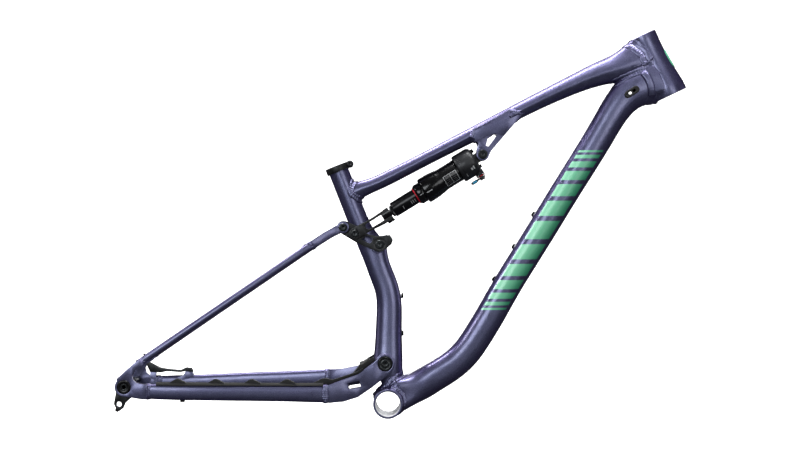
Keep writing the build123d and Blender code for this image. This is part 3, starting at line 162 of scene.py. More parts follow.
# ---------------------------------------------------------------------------
# Materials
# ---------------------------------------------------------------------------
# Graphic on the down tube, in the X, Z plane
TUBE_DIR = (0.523, 0.852)
TUBE_NORMAL = (-TUBE_DIR[1], TUBE_DIR[0])
BARS_START = (0.1785, 0.152)  # where distance along the tube is zero
BARS_MIDDLE = (0.2419, 0.261)  # a point on the line where distance across is zero
BARS_HALF_WIDTH = 0.0178
BARS_SLANT = 0.62
BARS = [  # start and end of each bar along the tube
    (0.004, 0.008), (0.013, 0.020), (0.026, 0.038), (0.045, 0.063), (0.071, 0.095),
    (0.104, 0.134), (0.144, 0.180), (0.190, 0.220), (0.229, 0.253), (0.261, 0.279),
    (0.286, 0.298), (0.304, 0.311), (0.316, 0.320)]


def bar_pattern(s):
    """Mask of the slanted bars, and their green, light on the upper side of the tube and deep on
    the lower: painted shade across the tube.
    """
    split = s.node("SeparateXYZ")
    s.put(split.inputs[0], s.coords)
    x, z = split.outputs[0], split.outputs[2]

    def distance(origin, direction):
        return s.math("ADD",
                      s.math("MULTIPLY", s.math("SUBTRACT", x, origin[0]), direction[0]),
                      s.math("MULTIPLY", s.math("SUBTRACT", z, origin[1]), direction[1]))

    def band(value, low, high, soft=0.0004):
        rise = s.remap(value, (low - soft, low + soft), (0.0, 1.0))
        fall = s.remap(value, (high - soft, high + soft), (1.0, 0.0))
        return s.math("MULTIPLY", rise, fall)

    along = distance(BARS_START, TUBE_DIR)
    across = distance(BARS_MIDDLE, TUBE_NORMAL)
    slanted = s.math("ADD", along, s.math("MULTIPLY", across, BARS_SLANT))
    inside = band(across, -BARS_HALF_WIDTH, BARS_HALF_WIDTH)
    mask = band(slanted, *BARS[0])
    for bar in BARS[1:]:
        mask = s.math("ADD", mask, band(slanted, *bar), clamp=True)
    mask = s.math("MULTIPLY", mask, inside)
    wear = s.remap(s.noise(scale=420.0), (0.30, 0.36), (0.86, 1.0))
    mask = s.math("MULTIPLY", mask, wear)
    # painted shade: the bar green darkens from the upper side of the tube to the lower side
    painted_shade_across = s.remap(across, (-0.018, 0.018), (1.0, 0.0))
    green = s.ramp(painted_shade_across, [(0.0, srgb(158, 226, 192)), (0.45, srgb(112, 198, 156)),
                          (1.0, srgb(44, 138, 100))])
    return mask, green


def paint(name, bars=False, weld=False):
    """Purple metallic paint, with painted shade that darkens it at grazing angles."""
    s = Shader(name)
    facing = s.node("LayerWeight")
    facing.inputs[0].default_value = 0.42
    cloud = s.noise(scale=14.0, detail=4.0, rough=0.55)
    # base colour by facing: grey-blue toward the camera, near black at grazing angles; partly the
    # paint's flop, partly painted shade along the edges of every tube
    base = s.ramp(facing.outputs["Facing"], [
        (0.0, srgb(98, 101, 131)), (0.28, srgb(82, 78, 121)), (0.60, srgb(60, 47, 104)),
        (0.84, srgb(30, 23, 48)), (1.0, srgb(12, 10, 18))])
    base = s.mix(s.remap(cloud, (0.3, 0.7), (0.0, 0.20)), base, srgb(70, 62, 108))
    # metallic flake: tiny cells, some brighter, some darker, each with its own roughness
    flake = s.node("SeparateColor")
    s.put(flake.inputs[0], s.voronoi(scale=2600.0, output="Color"))
    spark = s.remap(flake.outputs[0], (0.72, 1.0), (0.0, 0.26))
    base = s.mix(spark, base, srgb(196, 190, 240))
    dark = s.remap(flake.outputs[1], (0.75, 1.0), (0.0, 0.25))
    base = s.mix(dark, base, srgb(38, 32, 66))
    metallic = 0.80
    if bars:
        mask, green = bar_pattern(s)
        base = s.mix(mask, base, green)
        metallic = s.remap(mask, (0, 1), (metallic, 0.05))
    # slightly lighter on sharp edges
    edge_amount = s.math("MULTIPLY", s.edge(radius=0.0011), 0.32)
    base = s.mix(edge_amount, base, srgb(150, 146, 190))
    rough = s.math("ADD",
                   s.remap(s.noise(scale=90.0, detail=4.0), (0.3, 0.7), (0.30, 0.40)),
                   s.remap(flake.outputs[2], (0, 1), (-0.03, 0.04)))
    fine = s.bump(s.noise(scale=2400.0, detail=2.0, rough=0.5),
                  strength=0.05, distance=0.0002)
    normal = s.bump(s.noise(scale=240.0, detail=2.0, rough=0.5),
                    strength=0.07, distance=0.0006, normal=fine)
    if weld:
        normal = s.bump(s.noise(scale=900.0), strength=0.25, distance=0.0006, normal=normal)
    s.set({"Base Color": base, "Metallic": metallic, "Roughness": rough,
           "Coat Weight": 0.55, "Coat Roughness": 0.20, "Normal": normal})
    return s.mat


def metal(name, colour, rough, metallic, edge_colour, edge_amount, grain, bump, coat):
    """Mottled, finely grained metal with scuffed edges."""
    s = Shader(name)
    cloud = s.noise(scale=35.0, detail=4.0)
    fine = s.noise(scale=grain)
    middle = srgb(*colour)
    dark = tuple(c * 0.78 for c in middle[:3]) + (1,)
    light = tuple(min(1, c * 1.25 + 0.002) for c in middle[:3]) + (1,)
    base = s.ramp(cloud, [(0.30, dark), (0.50, middle), (0.72, light)])
    base = s.mix(s.remap(fine, (0.45, 0.75), (0.0, 0.28)), base, light)
    edge = s.edge(radius=0.0009)
    scuff = s.remap(s.noise(scale=160.0, detail=4.0, rough=0.7), (0.42, 0.62), (0.25, 1.0))
    wear = s.math("MULTIPLY", s.math("MULTIPLY", edge, scuff), edge_amount)
    roughness = s.math("ADD", s.remap(fine, (0.3, 0.7), (rough - 0.05, rough + 0.07)),
                       s.remap(cloud, (0.3, 0.7), (-0.03, 0.04)))
    s.set({"Base Color": s.mix(wear, base, srgb(*edge_colour)), "Metallic": metallic,
           "Roughness": roughness, "Coat Weight": coat, "Coat Roughness": 0.12,
           "Normal": s.bump(fine, strength=bump, distance=0.0003)})
    return s.mat


def rubber(name, colour, rough):
    """Pebbled rubber or plastic with paler edges."""
    s = Shader(name)
    cloud = s.noise(scale=60.0, detail=5.0)
    pebbles = s.voronoi(scale=1500.0, output="Distance")
    base = s.ramp(cloud, [(0.3, srgb(*[max(0, c - 6) for c in colour])),
                          (0.6, srgb(*colour)),
                          (0.8, srgb(*[c + 12 for c in colour]))])
    edge_amount = s.math("MULTIPLY", s.edge(radius=0.0010), 0.30)
    base = s.mix(edge_amount, base, srgb(*[min(255, c + 46) for c in colour]))
    s.set({"Base Color": base,
           "Roughness": s.remap(cloud, (0.3, 0.7), (rough - 0.08, rough + 0.10)),
           "Normal": s.bump(pebbles, strength=0.22, distance=0.0003),
           "Specular IOR Level": 0.35})
    return s.mat


def plain_paint(name, colour, rough):
    """Flat paint or print with a faint mottle."""
    s = Shader(name)
    fine = s.noise(scale=900.0)
    cloud = s.noise(scale=70.0)
    base = s.ramp(cloud, [(0.3, srgb(*[c * 0.86 for c in colour])),
                          (0.55, srgb(*colour)),
                          (0.8, srgb(*[min(255, c * 1.08 + 3) for c in colour]))])
    s.set({"Base Color": base,
           "Roughness": s.remap(fine, (0.3, 0.7), (rough - 0.06, rough + 0.08)),
           "Normal": s.bump(fine, strength=0.08, distance=0.0002)})
    return s.mat


METALS = [
    # name, colour, roughness, metallic, edge colour, edge amount, grain scale, bump, coat
    ("forged_black", (44, 45, 46), 0.40, 0.72, (138, 140, 142), 0.65, 420.0, 0.22, 0.0),
    ("black_oxide_bolt", (22, 22, 24), 0.26, 0.85, (140, 140, 146), 0.5, 700.0, 0.08, 0.3),
    ("gloss_black_anodised", (20, 20, 22), 0.22, 0.70, (110, 110, 116), 0.35, 900.0, 0.05, 0.55),
    ("satin_black_shaft", (26, 26, 28), 0.30, 0.75, (90, 90, 94), 0.3, 1200.0, 0.06, 0.25),
    ("ground_bearing_steel", (178, 180, 184), 0.24, 1.0, (235, 235, 238), 0.4, 1200.0, 0.08, 0.0),
    ("machined_silver", (205, 206, 210), 0.30, 1.0, (245, 245, 246), 0.4, 900.0, 0.08, 0.0),
    ("plain_bronze", (176, 138, 82), 0.36, 1.0, (214, 184, 128), 0.4, 900.0, 0.08, 0.0),
    ("red_anodised", (178, 20, 34), 0.30, 0.85, (230, 120, 120), 0.4, 900.0, 0.06, 0.0),
    ("pivot_cap_grey", (33, 36, 37), 0.30, 0.80, (150, 156, 160), 0.75, 700.0, 0.10, 0.2),
    ("bearing_seal", (46, 47, 48), 0.34, 0.6, (150, 150, 152), 0.5, 700.0, 0.10, 0.0),
    ("satin_black_casting", (40, 41, 44), 0.44, 0.45, (112, 114, 118), 0.4, 520.0, 0.14, 0.12),
    ("bare_machined_bore", (238, 238, 240), 0.50, 0.10, (248, 248, 248), 0.3, 1400.0, 0.10, 0.0),
]
RUBBERS = [  # name, colour, roughness
    ("chain_guard_rubber", (24, 24, 25), 0.72),
    ("moulded_black_plastic", (22, 22, 23), 0.50),
    ("red_silicone", (196, 10, 42), 0.42),
]
PLAIN_PAINTS = [  # name, colour, roughness
    ("blue_tip", (40, 168, 214), 0.35),
    ("printed_grey", (186, 188, 190), 0.5),
    ("faint_printed_grey", (112, 114, 118), 0.55),
    ("mint_badge", (116, 210, 168), 0.32),
]
MATERIALS = {
    "purple_metallic": paint("purple_metallic"),
    "purple_metallic_with_bars": paint("purple_metallic_with_bars", bars=True),
    "purple_weld": paint("purple_weld", weld=True),
}
for make, table in ((metal, METALS), (rubber, RUBBERS), (plain_paint, PLAIN_PAINTS)):
    for row in table:
        MATERIALS[row[0]] = make(*row)

SLOT_MATERIALS = {
    "purple_paint": "purple_metallic", "black_anodised": "forged_black",
    "black_steel": "black_oxide_bolt", "shock_black": "gloss_black_anodised",
    "bearing_steel": "ground_bearing_steel", "black_rubber": "chain_guard_rubber",
    "black_plastic": "moulded_black_plastic", "red_rubber": "red_silicone",
    "red_anodised": "red_anodised", "silver": "machined_silver", "bronze": "plain_bronze",
}
PIECE_MATERIALS = {  # pieces that differ from their slot
    "down_tube": "purple_metallic_with_bars", "shock_shaft": "satin_black_shaft",
    "rebound_knob": "black_oxide_bolt", "main_pivot_caps": "pivot_cap_grey",
    "rocker_pivot_bolts": "pivot_cap_grey", "shock_mount_bolt": "pivot_cap_grey",
    "thru_axle": "pivot_cap_grey", "seatstay_pivot_bolts": "pivot_cap_grey",
    "yoke_pivot_bolts": "pivot_cap_grey", "rocker_bearings": "bearing_seal",
    "shock_head": "satin_black_casting",
}
SHELL_BORE_RADIUS = 0.0212


def assign(piece, material):
    materials = PIECES[piece].data.materials
    materials.clear()
    materials.append(MATERIALS[material])


for subpart in frame["record"]["subparts"]:
    assign(subpart["node"], SLOT_MATERIALS[subpart["material_slot"]])
    for polygon in PIECES[subpart["node"]].data.polygons:
        polygon.material_index = 0
for piece, material in PIECE_MATERIALS.items():
    assign(piece, material)

# the inside of the bottom bracket shell is bare metal
shell = PIECES["bottom_bracket_shell"].data
shell.materials.append(MATERIALS["bare_machined_bore"])
for polygon in shell.polygons:
    center, normal = polygon.center, polygon.normal
    faces_axis = normal.x * center.x + normal.z * center.z < 0
    if hypot(center.x, center.z) < SHELL_BORE_RADIUS and faces_axis:
        polygon.material_index = 1


# ---------------------------------------------------------------------------
# Mesh helpers
# ---------------------------------------------------------------------------
def add_mesh(name, verts, faces, material, smooth=True):
    mesh = bpy.data.meshes.new(name)
    mesh.from_pydata([tuple(v) for v in verts], [], faces)
    mesh.update()
    bm = bmesh.new()
    bm.from_mesh(mesh)
    bmesh.ops.recalc_face_normals(bm, faces=bm.faces)
    bm.to_mesh(mesh)
    bm.free()
    ob = bpy.data.objects.new(name, mesh)
    bpy.context.scene.collection.objects.link(ob)
    mesh.materials.append(MATERIALS[material])
    if smooth:
        for polygon in mesh.polygons:
            polygon.use_smooth = True
    return ob


def skin(name, rings, material, closed=False):
    """Faces between successive rings of points; an open run is capped at both ends."""
    size, count = len(rings[0]), len(rings)
    faces = []
    for i in range(count if closed else count - 1):
        j = (i + 1) % count
        for a in range(size):
            b = (a + 1) % size
            faces.append((i * size + a, i * size + b, j * size + b, j * size + a))
    if not closed:
        faces.append(tuple(range(size))[::-1])
        faces.append(tuple(range((count - 1) * size, count * size)))
    return add_mesh(name, [p for ring in rings for p in ring], faces, material)


def slab(name, verts, rows, columns, material, smooth):
    """Thin plate: verts hold the inner grid row by row, then the outer grid."""
    width, outer = columns + 1, (rows + 1) * (columns + 1)
    faces = []
    for i in range(rows):
        for j in range(columns):
            a = i * width + j
            faces.append((a, a + width, a + width + 1, a + 1))
            a += outer
            faces.append((a, a + 1, a + width + 1, a + width))
    rim = (list(range(width)) + [i * width + columns for i in range(1, rows + 1)]
           + [rows * width + j for j in range(columns - 1, -1, -1)]
           + [i * width for i in range(rows - 1, 0, -1)])
    for a, b in zip(rim, rim[1:] + rim[:1]):
        faces.append((a, b, b + outer, a + outer))
    return add_mesh(name, verts, faces, material, smooth)


def place(ob, body):
    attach(ob, body)


def add_split(ob, degrees=40):
    ob.modifiers.new("split", "EDGE_SPLIT").split_angle = radians(degrees)


@cache
def surface(piece):
    """Search tree of a CAD piece."""
    bm = bmesh.new()
    bm.from_mesh(PIECES[piece].data)
    tree = BVHTree.FromBMesh(bm)
    bm.free()
    return tree


# ---------------------------------------------------------------------------
# CAD pieces: smooth shading, small radii on machined edges
# ---------------------------------------------------------------------------
BEVELS = {  # bevel width: pieces
    0.0014: "chainstay_pivot_arm_right chainstay_pivot_arm_left",
    0.0012: "dropout_right dropout_left chainstay_bridge",
    0.0011: "rocker_link shock_mount_bracket",
    0.0010: "shock_yoke seatstay_fork_end_right seatstay_fork_end_left",
    0.0008: "derailleur_hanger",
    0.0007: "chainstay_protector",
    0.0006: "brake_adapter brake_mount_posts seat_clamp_collar shock_head shock_rear_block "
            "cable_port_covers bottom_bracket_shell head_tube main_pivot_boss",
    0.0005: "lockout_lever",
    0.0004: "shock_air_can shock_seal_head main_pivot_caps rocker_pivot_bolts "
            "shock_mount_bolt pivot_mud_guard rocker_pivot_bosses",
    0.0003: "thru_axle seatstay_pivot_bolts yoke_pivot_bolts yoke_shock_bolt hanger_bolt "
            "bottle_bolts rebound_knob",
    0.0002: "cable_port_screws brake_adapter_bolts seat_clamp_bolt",
}
BEVEL_WIDTH = {piece: width for width, names in BEVELS.items() for piece in names.split()}

for name, ob in PIECES.items():
    mesh = ob.data
    if "custom_normal" in mesh.attributes:
        mesh.attributes.remove(mesh.attributes["custom_normal"])
    for polygon in mesh.polygons:
        polygon.use_smooth = True
    ob.modifiers.new("weld", "WELD").merge_threshold = 0.00002
    if name in BEVEL_WIDTH:
        bevel = ob.modifiers.new("bevel", "BEVEL")
        bevel.width = BEVEL_WIDTH[name]
        bevel.segments = 2
        bevel.limit_method = "ANGLE"
        bevel.angle_limit = radians(34)
        bevel.use_clamp_overlap = True
    add_split(ob, 44 if name in BEVEL_WIDTH else 38)


# ---------------------------------------------------------------------------
# Seams between pieces
# ---------------------------------------------------------------------------
SEARCH = 0.01            # how far to look for the other piece
VERT_GAP = 0.0006        # largest gap at the corners of a touching face
FACE_GAP = 0.0009        # and at its centre
GROWN_GAP = 0.0014       # gap allowed while growing over slivers
MIN_OUTLINE = 0.012      # shorter outlines are no seams
MIN_BEAD = 0.015         # shorter seams get no bead


def contact_faces(bm, tree):
    """Indices of the faces cut to lie against the surface in tree."""
    near = [tree.find_nearest(v.co, SEARCH)[3] for v in bm.verts]
    touching = set()
    for face in bm.faces:
        gaps = [near[v.index] for v in face.verts]
        if any(gap is None or gap > VERT_GAP for gap in gaps):
            continue
        _, normal, _, gap = tree.find_nearest(face.calc_center_median(), SEARCH)
        if gap is None or gap > FACE_GAP or abs(face.normal.dot(normal)) < 0.8:
            continue
        touching.add(face.index)
    # the cut surface is smooth: grow over its slivers, stop at the sharp outer edge
    grow = list(touching)
    while grow:
        face = bm.faces[grow.pop()]
        for edge in face.edges:
            for other in edge.link_faces:
                if other.index in touching or other.normal.dot(face.normal) < 0.93:
                    continue
                gap = tree.find_nearest(other.calc_center_median(), SEARCH)[3]
                if gap is not None and gap < GROWN_GAP:
                    touching.add(other.index)
                    grow.append(other.index)
    return touching


def connected(bm, start, touching, seen):
    """Touching faces joined to the start face; they are added to seen."""
    stack, patch = [start], []
    seen.add(start)
    while stack:
        patch.append(stack.pop())
        for edge in bm.faces[patch[-1]].edges:
            for face in edge.link_faces:
                if face.index in touching and face.index not in seen:
                    seen.add(face.index)
                    stack.append(face.index)
    return patch


def outlines(bm, patch):
    """Border lines of a patch: (points, normals of the faces outside, closed, length)."""
    inside = set(patch)
    links, normals = {}, {}
    for index in patch:
        for edge in bm.faces[index].edges:
            outside = [f for f in edge.link_faces if f.index not in inside]
            if len(outside) != 1:
                continue
            i, j = edge.verts[0].index, edge.verts[1].index
            links.setdefault(i, []).append(j)
            links.setdefault(j, []).append(i)
            for end in (i, j):
                normals[end] = normals.get(end, Vector((0, 0, 0))) + outside[0].normal
    used, lines = set(), []
    for first in sorted(links):
        for second in links[first]:
            if frozenset((first, second)) in used:
                continue
            path = [first, second]
            used.add(frozenset(path))
            while path[-1] != path[0]:
                onward = [q for q in links[path[-1]] if frozenset((path[-1], q)) not in used]
                if not onward:
                    break
                used.add(frozenset((path[-1], onward[0])))
                path.append(onward[0])
            points = [bm.verts[i].co.copy() for i in path]
            length = sum((a - b).length for a, b in zip(points, points[1:]))
            closed = path[0] == path[-1] and len(path) > 3
            lines.append((points, [normals[i].normalized() for i in path], closed, length))
    return lines


def seam_lines(piece, other):
    """Longest outline of each patch where piece is cut to lie against other."""
    bm = bmesh.new()
    bm.from_mesh(PIECES[piece].data)
    bmesh.ops.remove_doubles(bm, verts=bm.verts, dist=2e-5)
    bm.verts.ensure_lookup_table()
    bm.faces.ensure_lookup_table()
    touching = contact_faces(bm, surface(other))
    seen, seams = set(), []
    for start in sorted(touching):
        if start in seen:
            continue
        lines = outlines(bm, connected(bm, start, touching, seen))
        if lines:
            longest = max(lines, key=lambda line: line[3])
            if longest[3] >= MIN_OUTLINE:
                seams.append(longest[:3])
    bm.free()
    return seams


def smooth_line(points, normals, closed, passes):
    """Average each point and normal with its neighbours; open ends stay put."""
    count = len(points)
    for _ in range(passes):
        new_points, new_normals = list(points), list(normals)
        for i in range(count):
            if not closed and i in (0, count - 1):
                continue
            j = (i + 1) % count
            new_points[i] = (points[i - 1] + 2 * points[i] + points[j]) / 4
            new_normals[i] = (normals[i - 1] + 2 * normals[i] + normals[j]).normalized()
        points, normals = new_points, new_normals
    return points, normals


def resample(points, normals, closed, step):
    """Even, smoothed points and normals along a line, and its length."""
    kept, kept_normals = [points[0]], [normals[0]]
    for point, normal in zip(points[1:], normals[1:]):
        if (point - kept[-1]).length > 1e-6:
            kept.append(point)
            kept_normals.append(normal)
    if closed and (kept[0] - kept[-1]).length > 1e-6:
        kept.append(kept[0])
        kept_normals.append(kept_normals[0])
    travel = [0.0]
    for i in range(1, len(kept)):
        travel.append(travel[-1] + (kept[i] - kept[i - 1]).length)
    length = travel[-1]
    count = max(6, int(round(length / step)))
    even, even_normals = [], []
    k = 0
    for i in range(count if closed else count + 1):
        along = length * i / count
        while k < len(travel) - 2 and travel[k + 1] < along:
            k += 1
        t = (along - travel[k]) / max(1e-9, travel[k + 1] - travel[k])
        even.append(kept[k].lerp(kept[k + 1], t))
        even_normals.append(kept_normals[k].lerp(kept_normals[k + 1], t).normalized())
    return *smooth_line(even, even_normals, closed, passes=3), length


# ---------------------------------------------------------------------------
# Weld beads and fillets
# ---------------------------------------------------------------------------
RIM_SINK = 0.0003  # how far the long edges of a bead dip under the wall


def puddle_arch(fraction):
    """Half-circle profile over one weld puddle, 0 at its ends and 1 in the middle."""
    return sqrt(max(0.0, 1 - (2 * fraction - 1) ** 2))


def bead_up(tree, point, normal):
    """Direction between the two walls at a seam point."""
    hit = tree.find_nearest(point, 0.02)[1]
    up = normal + (hit if hit is not None else normal)
    return up.normalized() if up.length > 0.3 else normal.copy()


def wall_point(own, other, base, up):
    """Highest point of either wall under base, seen along -up."""
    origin = base + up * 0.012
    hits = [tree.ray_cast(origin, -up, 0.030)[3] for tree in (own, other)]
    hits = [distance for distance in hits if distance is not None]
    if hits:
        return origin - up * min(hits)
    nearest = own.find_nearest(base, 0.02)[0]
    return nearest if nearest is not None else base - up * 0.001


def own_side(tree, points, tangents, ups):
    """Sign of the sideways direction that leads away from the other piece."""
    votes = 0
    for i in range(0, len(points), max(1, len(points) // 24)):
        side = tangents[i].cross(ups[i]).normalized()
        gaps = []
        for sign in (1, -1):
            gap = tree.find_nearest(points[i] + side * (0.008 * sign), 0.1)[3]
            gaps.append(gap if gap is not None else 0.1)
        votes += 1 if gaps[0] >= gaps[1] else -1
    return 1 if votes >= 0 else -1


def bead(name, piece, other, body, width, height, pitch, material="purple_weld",
         shift=0.0, ripple=1.0, smooth=6, soft=False):
    """Overlapping weld puddles along the seam of two pieces, lying on both walls.

    shift moves the bead onto the first piece's wall; ripple 0 and soft give a plain fillet.
    """
    own, far = surface(piece), surface(other)
    columns = 12
    made = 0
    for index, (line, normals, closed) in enumerate(seam_lines(piece, other)):
        points, normals, length = resample(line, normals, closed, step=0.0008)
        if length < MIN_BEAD:
            continue
        count = len(points)
        ups = [bead_up(far, point, normal) for point, normal in zip(points, normals)]
        points, ups = smooth_line(points, ups, closed, smooth)
        tangents = []
        for i in range(count):
            if closed:
                span = points[(i + 1) % count] - points[i - 1]
            else:
                span = points[min(i + 1, count - 1)] - points[max(i - 1, 0)]
            tangents.append(span.normalized())
        sign = own_side(far, points, tangents, ups)
        puddles = max(3, int(round(length / pitch)))
        rings = []
        for i, tangent in enumerate(tangents):
            up = (ups[i] - tangent * ups[i].dot(tangent)).normalized()
            side = tangent.cross(up).normalized() * sign
            travel = i / count * puddles
            number = floor(travel)
            fraction = travel - number
            arch = puddle_arch(fraction)
            uneven = 1.0 + 0.05 * sin(2.1 * number + index) + 0.04 * sin(0.73 * number)
            taper = 1.0 if closed else min(1.0, 0.25 + min(i, count - 1 - i) / 6.0)
            half = width / 2 * (1 - 0.05 * ripple + 0.07 * ripple * arch) * uneven * taper
            lag = 0.0011 * (1 - (2 * fraction - 1) ** 2) * ripple
            top, low = [], []
            for k in range(columns + 1):
                q = -1 + 2 * k / columns  # -1 to 1 across the bead
                wall = wall_point(own, far, points[i] + side * (shift + half * q), up)
                crown = cos(pi * q / 2) ** 2 if soft else (1 - q * q) ** 0.8
                rise = height * crown * (1 - 0.22 * ripple + 0.24 * ripple * arch)
                rise = rise * uneven * taper + 0.00005 - (RIM_SINK if abs(q) > 0.99 else 0)
                top.append(wall + up * rise + tangent * (lag * (1 - q * q)))
                low.append(wall - up * 0.0008)
            rings.append(top + low[::-1])
        ob = skin(f"{name}_{index}" if made else name, rings, material, closed)
        place(ob, body)
        made += 1


def drape(name, path, half, height, sign, material, passes, lift, pitch=0.0):
    """Band laid over the side of the head tube joint, filling the creases.

    path is in X, Z; sign is the side; a pitch gives weld puddles.
    """
    trees = [surface(piece) for piece in ("down_tube", "head_tube", "top_tube")]
    columns = 16
    ray_start = 0.08  # distance from the middle plane
    points = []
    for (x0, z0), (x1, z1) in zip(path, path[1:]):
        for k in range(10):
            f = k / 10
            points.append(Vector((x0 * (1 - f) + x1 * f, z0 * (1 - f) + z1 * f)))
    points.append(Vector(path[-1]))
    for _ in range(30):
        inner = [(a + 2 * b + c) / 4 for a, b, c in zip(points, points[1:], points[2:])]
        points = [points[0]] + inner + [points[-1]]

    # distance of the walls from the middle plane, on a grid along and across the path
    last = len(points) - 1
    grid, walls = [], []
    for i, point in enumerate(points):
        tangent = (points[min(i + 1, last)] - points[max(i - 1, 0)]).normalized()
        places, reach = [], []
        for k in range(columns + 1):
            q = -1 + 2 * k / columns
            x = point.x + tangent.y * half * q
            z = point.y - tangent.x * half * q
            origin, inward = Vector((x, sign * ray_start, z)), Vector((0, -sign, 0))
            hits = [tree.ray_cast(origin, inward, 0.079)[3] for tree in trees]
            hits = [distance for distance in hits if distance is not None]
            places.append((x, z))
            reach.append(ray_start - min(hits) if hits else 0.006)
        grid.append(places)
        walls.append(reach)

    # stretch a membrane over the walls, then even it out
    level = [list(row) for row in walls]
    for _ in range(passes):
        new = [list(row) for row in level]
        for i in range(last + 1):
            before, after = level[max(i - 1, 0)], level[min(i + 1, last)]
            for k in range(1, columns):
                mean = (before[k] + after[k] + level[i][k - 1] + level[i][k + 1]) / 4
                new[i][k] = max(walls[i][k], mean)
        level = new
    for _ in range(6):
        new = [list(row) for row in level]
        for i in range(1, last):
            for k in range(1, columns):
                new[i][k] = (level[i - 1][k] + level[i + 1][k] + level[i][k - 1]
                             + level[i][k + 1] + 4 * level[i][k]) / 8
        level = new

    rings = []
    travel = 0.0
    for i in range(last + 1):
        travel += (points[i] - points[i - 1]).length if i else 0.0
        arch = puddle_arch((travel / pitch) % 1.0) if pitch else 1.0
        taper = min(1.0, min(i, last - i) / 5.0)
        top, low = [], []
        for k in range(columns + 1):
            q = -1 + 2 * k / columns
            x, z = grid[i][k]
            crown = (1 - q ** 4) if pitch else cos(pi * q / 2) ** 2
            rise = (height * crown * (0.74 + 0.26 * arch) + lift * (1 - q ** 6)) * taper
            rise -= RIM_SINK * (1 - taper) + (RIM_SINK if abs(q) > 0.99 else 0)
            top.append(Vector((x, sign * (level[i][k] + rise), z)))
            low.append(Vector((x, sign * (min(walls[i][k], level[i][k]) - 0.0010), z)))
        rings.append(top + low[::-1])
    place(skin(name, rings, material), "front_triangle")


# X, Z points, from the top down
SIDE_FILLET_PATH = [(0.4340, 0.5650), (0.4420, 0.5560), (0.4485, 0.5440), (0.4530, 0.5310),
                    (0.4552, 0.5215)]
SIDE_WELD_PATH = [(0.4290, 0.5610), (0.4345, 0.5550), (0.4400, 0.5460), (0.4440, 0.5350),
                  (0.4460, 0.5240), (0.4465, 0.5140)]
FRONT_WELDS = [  # name after "weld_", piece, other piece, width, height, pitch, smoothing
    ("top_tube_to_seat_tube", "top_tube", "seat_tube", 0.0116, 0.0024, 0.0040, 10),
    ("down_tube_to_bottom_bracket", "down_tube", "bottom_bracket_shell",
     0.0112, 0.0024, 0.0042, 10),
    ("seat_tube_to_bottom_bracket", "seat_tube", "bottom_bracket_shell",
     0.0112, 0.0024, 0.0042, 10),
    ("down_tube_to_seat_tube", "down_tube", "seat_tube", 0.0120, 0.0026, 0.0042, 10),
    ("shock_mount_to_top_tube", "shock_mount_bracket", "top_tube", 0.0076, 0.0018, 0.0030, 6),
    ("rocker_bosses", "rocker_pivot_bosses", "seat_tube", 0.0034, 0.0009, 0.0022, 6),
]
REAR_WELDS = [  # name after "weld_", piece, other piece, body, width, height, pitch; * is the side
    ("chainstay_arm", "chainstay_*", "chainstay_pivot_arm_*", "swingarm", 0.0078, 0.0019, 0.0034),
    ("chainstay_dropout", "chainstay_*", "dropout_*", "swingarm", 0.0070, 0.0016, 0.0032),
    ("seatstay_dropout", "seatstay_*", "dropout_*", "swingarm", 0.0046, 0.0011, 0.0026),
    ("seatstay_fork_end", "seatstay_*", "seatstay_fork_end_*", "flex_stays",
     0.0056, 0.0012, 0.0028),
    ("chainstay_bridge", "chainstay_bridge", "chainstay_pivot_arm_*", "swingarm",
     0.0052, 0.0012, 0.0028),
    ("seatstay_bridge", "seatstay_bridge", "seatstay_*", "flex_stays", 0.0036, 0.0010, 0.0022),
]

for tube in ("top", "down"):
    bead(f"head_tube_stub_fillet_{tube}", f"{tube}_tube", "head_tube", "front_triangle",
         width=0.0130, height=0.0021, pitch=0.0046, material="purple_metallic",
         ripple=0.0, smooth=20, soft=True)
    bead(f"weld_{tube}_tube_to_head_tube", f"{tube}_tube", "head_tube", "front_triangle",
         width=0.0116, height=0.0014, pitch=0.0044, shift=0.0088, smooth=20)
bead("weld_top_tube_to_down_tube", "top_tube", "down_tube", "front_triangle",
     width=0.0124, height=0.0022, pitch=0.0042, smooth=12)
for side, sign in ((SIDES)):
    drape(f"head_tube_side_fillet_{side}", SIDE_FILLET_PATH, half=0.0146, height=0.0010,
          sign=sign, material="purple_metallic", passes=90, lift=0.0009)
    drape(f"weld_down_tube_side_{side}", SIDE_WELD_PATH, half=0.0070, height=0.0013,
          sign=sign, material="purple_weld", passes=30, lift=0.0022, pitch=0.0044)
for name, piece, other, width, height, pitch, smooth in FRONT_WELDS:
    bead("weld_" + name, piece, other, "front_triangle", width, height, pitch, smooth=smooth)
for side, _ in SIDES:
    for name, piece, other, body, width, height, pitch in REAR_WELDS:
        bead(f"weld_{name}_{side}", piece.replace("*", side), other.replace("*", side),
             body, width, height, pitch)

# ---------------------------------------------------------------------------
# Seatstays: flat tubes that bend just above the dropouts
# ---------------------------------------------------------------------------
STAY_SLOPE = atan2(267.0 - 73.2, -126.5 + 410.0)  # rise over run, mm
STAY_UP = Vector((-sin(STAY_SLOPE), 0, cos(STAY_SLOPE)))
STAY_STATIONS = [  # mm: x, z, depth, width, distance from the middle plane
    (-414.0, 70.4, 11.6, 9.0, 74.2), (-396.0, 82.7, 12.0, 11.0, 73.4),
    (-356.3, 109.9, 12.0, 14.0, 70.4), (-290.0, 155.2, 12.0, 16.0, 65.0),
    (-220.0, 203.0, 12.2, 16.5, 57.6), (-160.0, 244.1, 12.6, 15.4, 50.6),
    (-129.0, 265.3, 13.0, 14.2, 46.5)]
STAY_RINGS, STAY_SEGMENTS = 96, 36
STAY_SQUARENESS = 2.4  # superellipse exponent


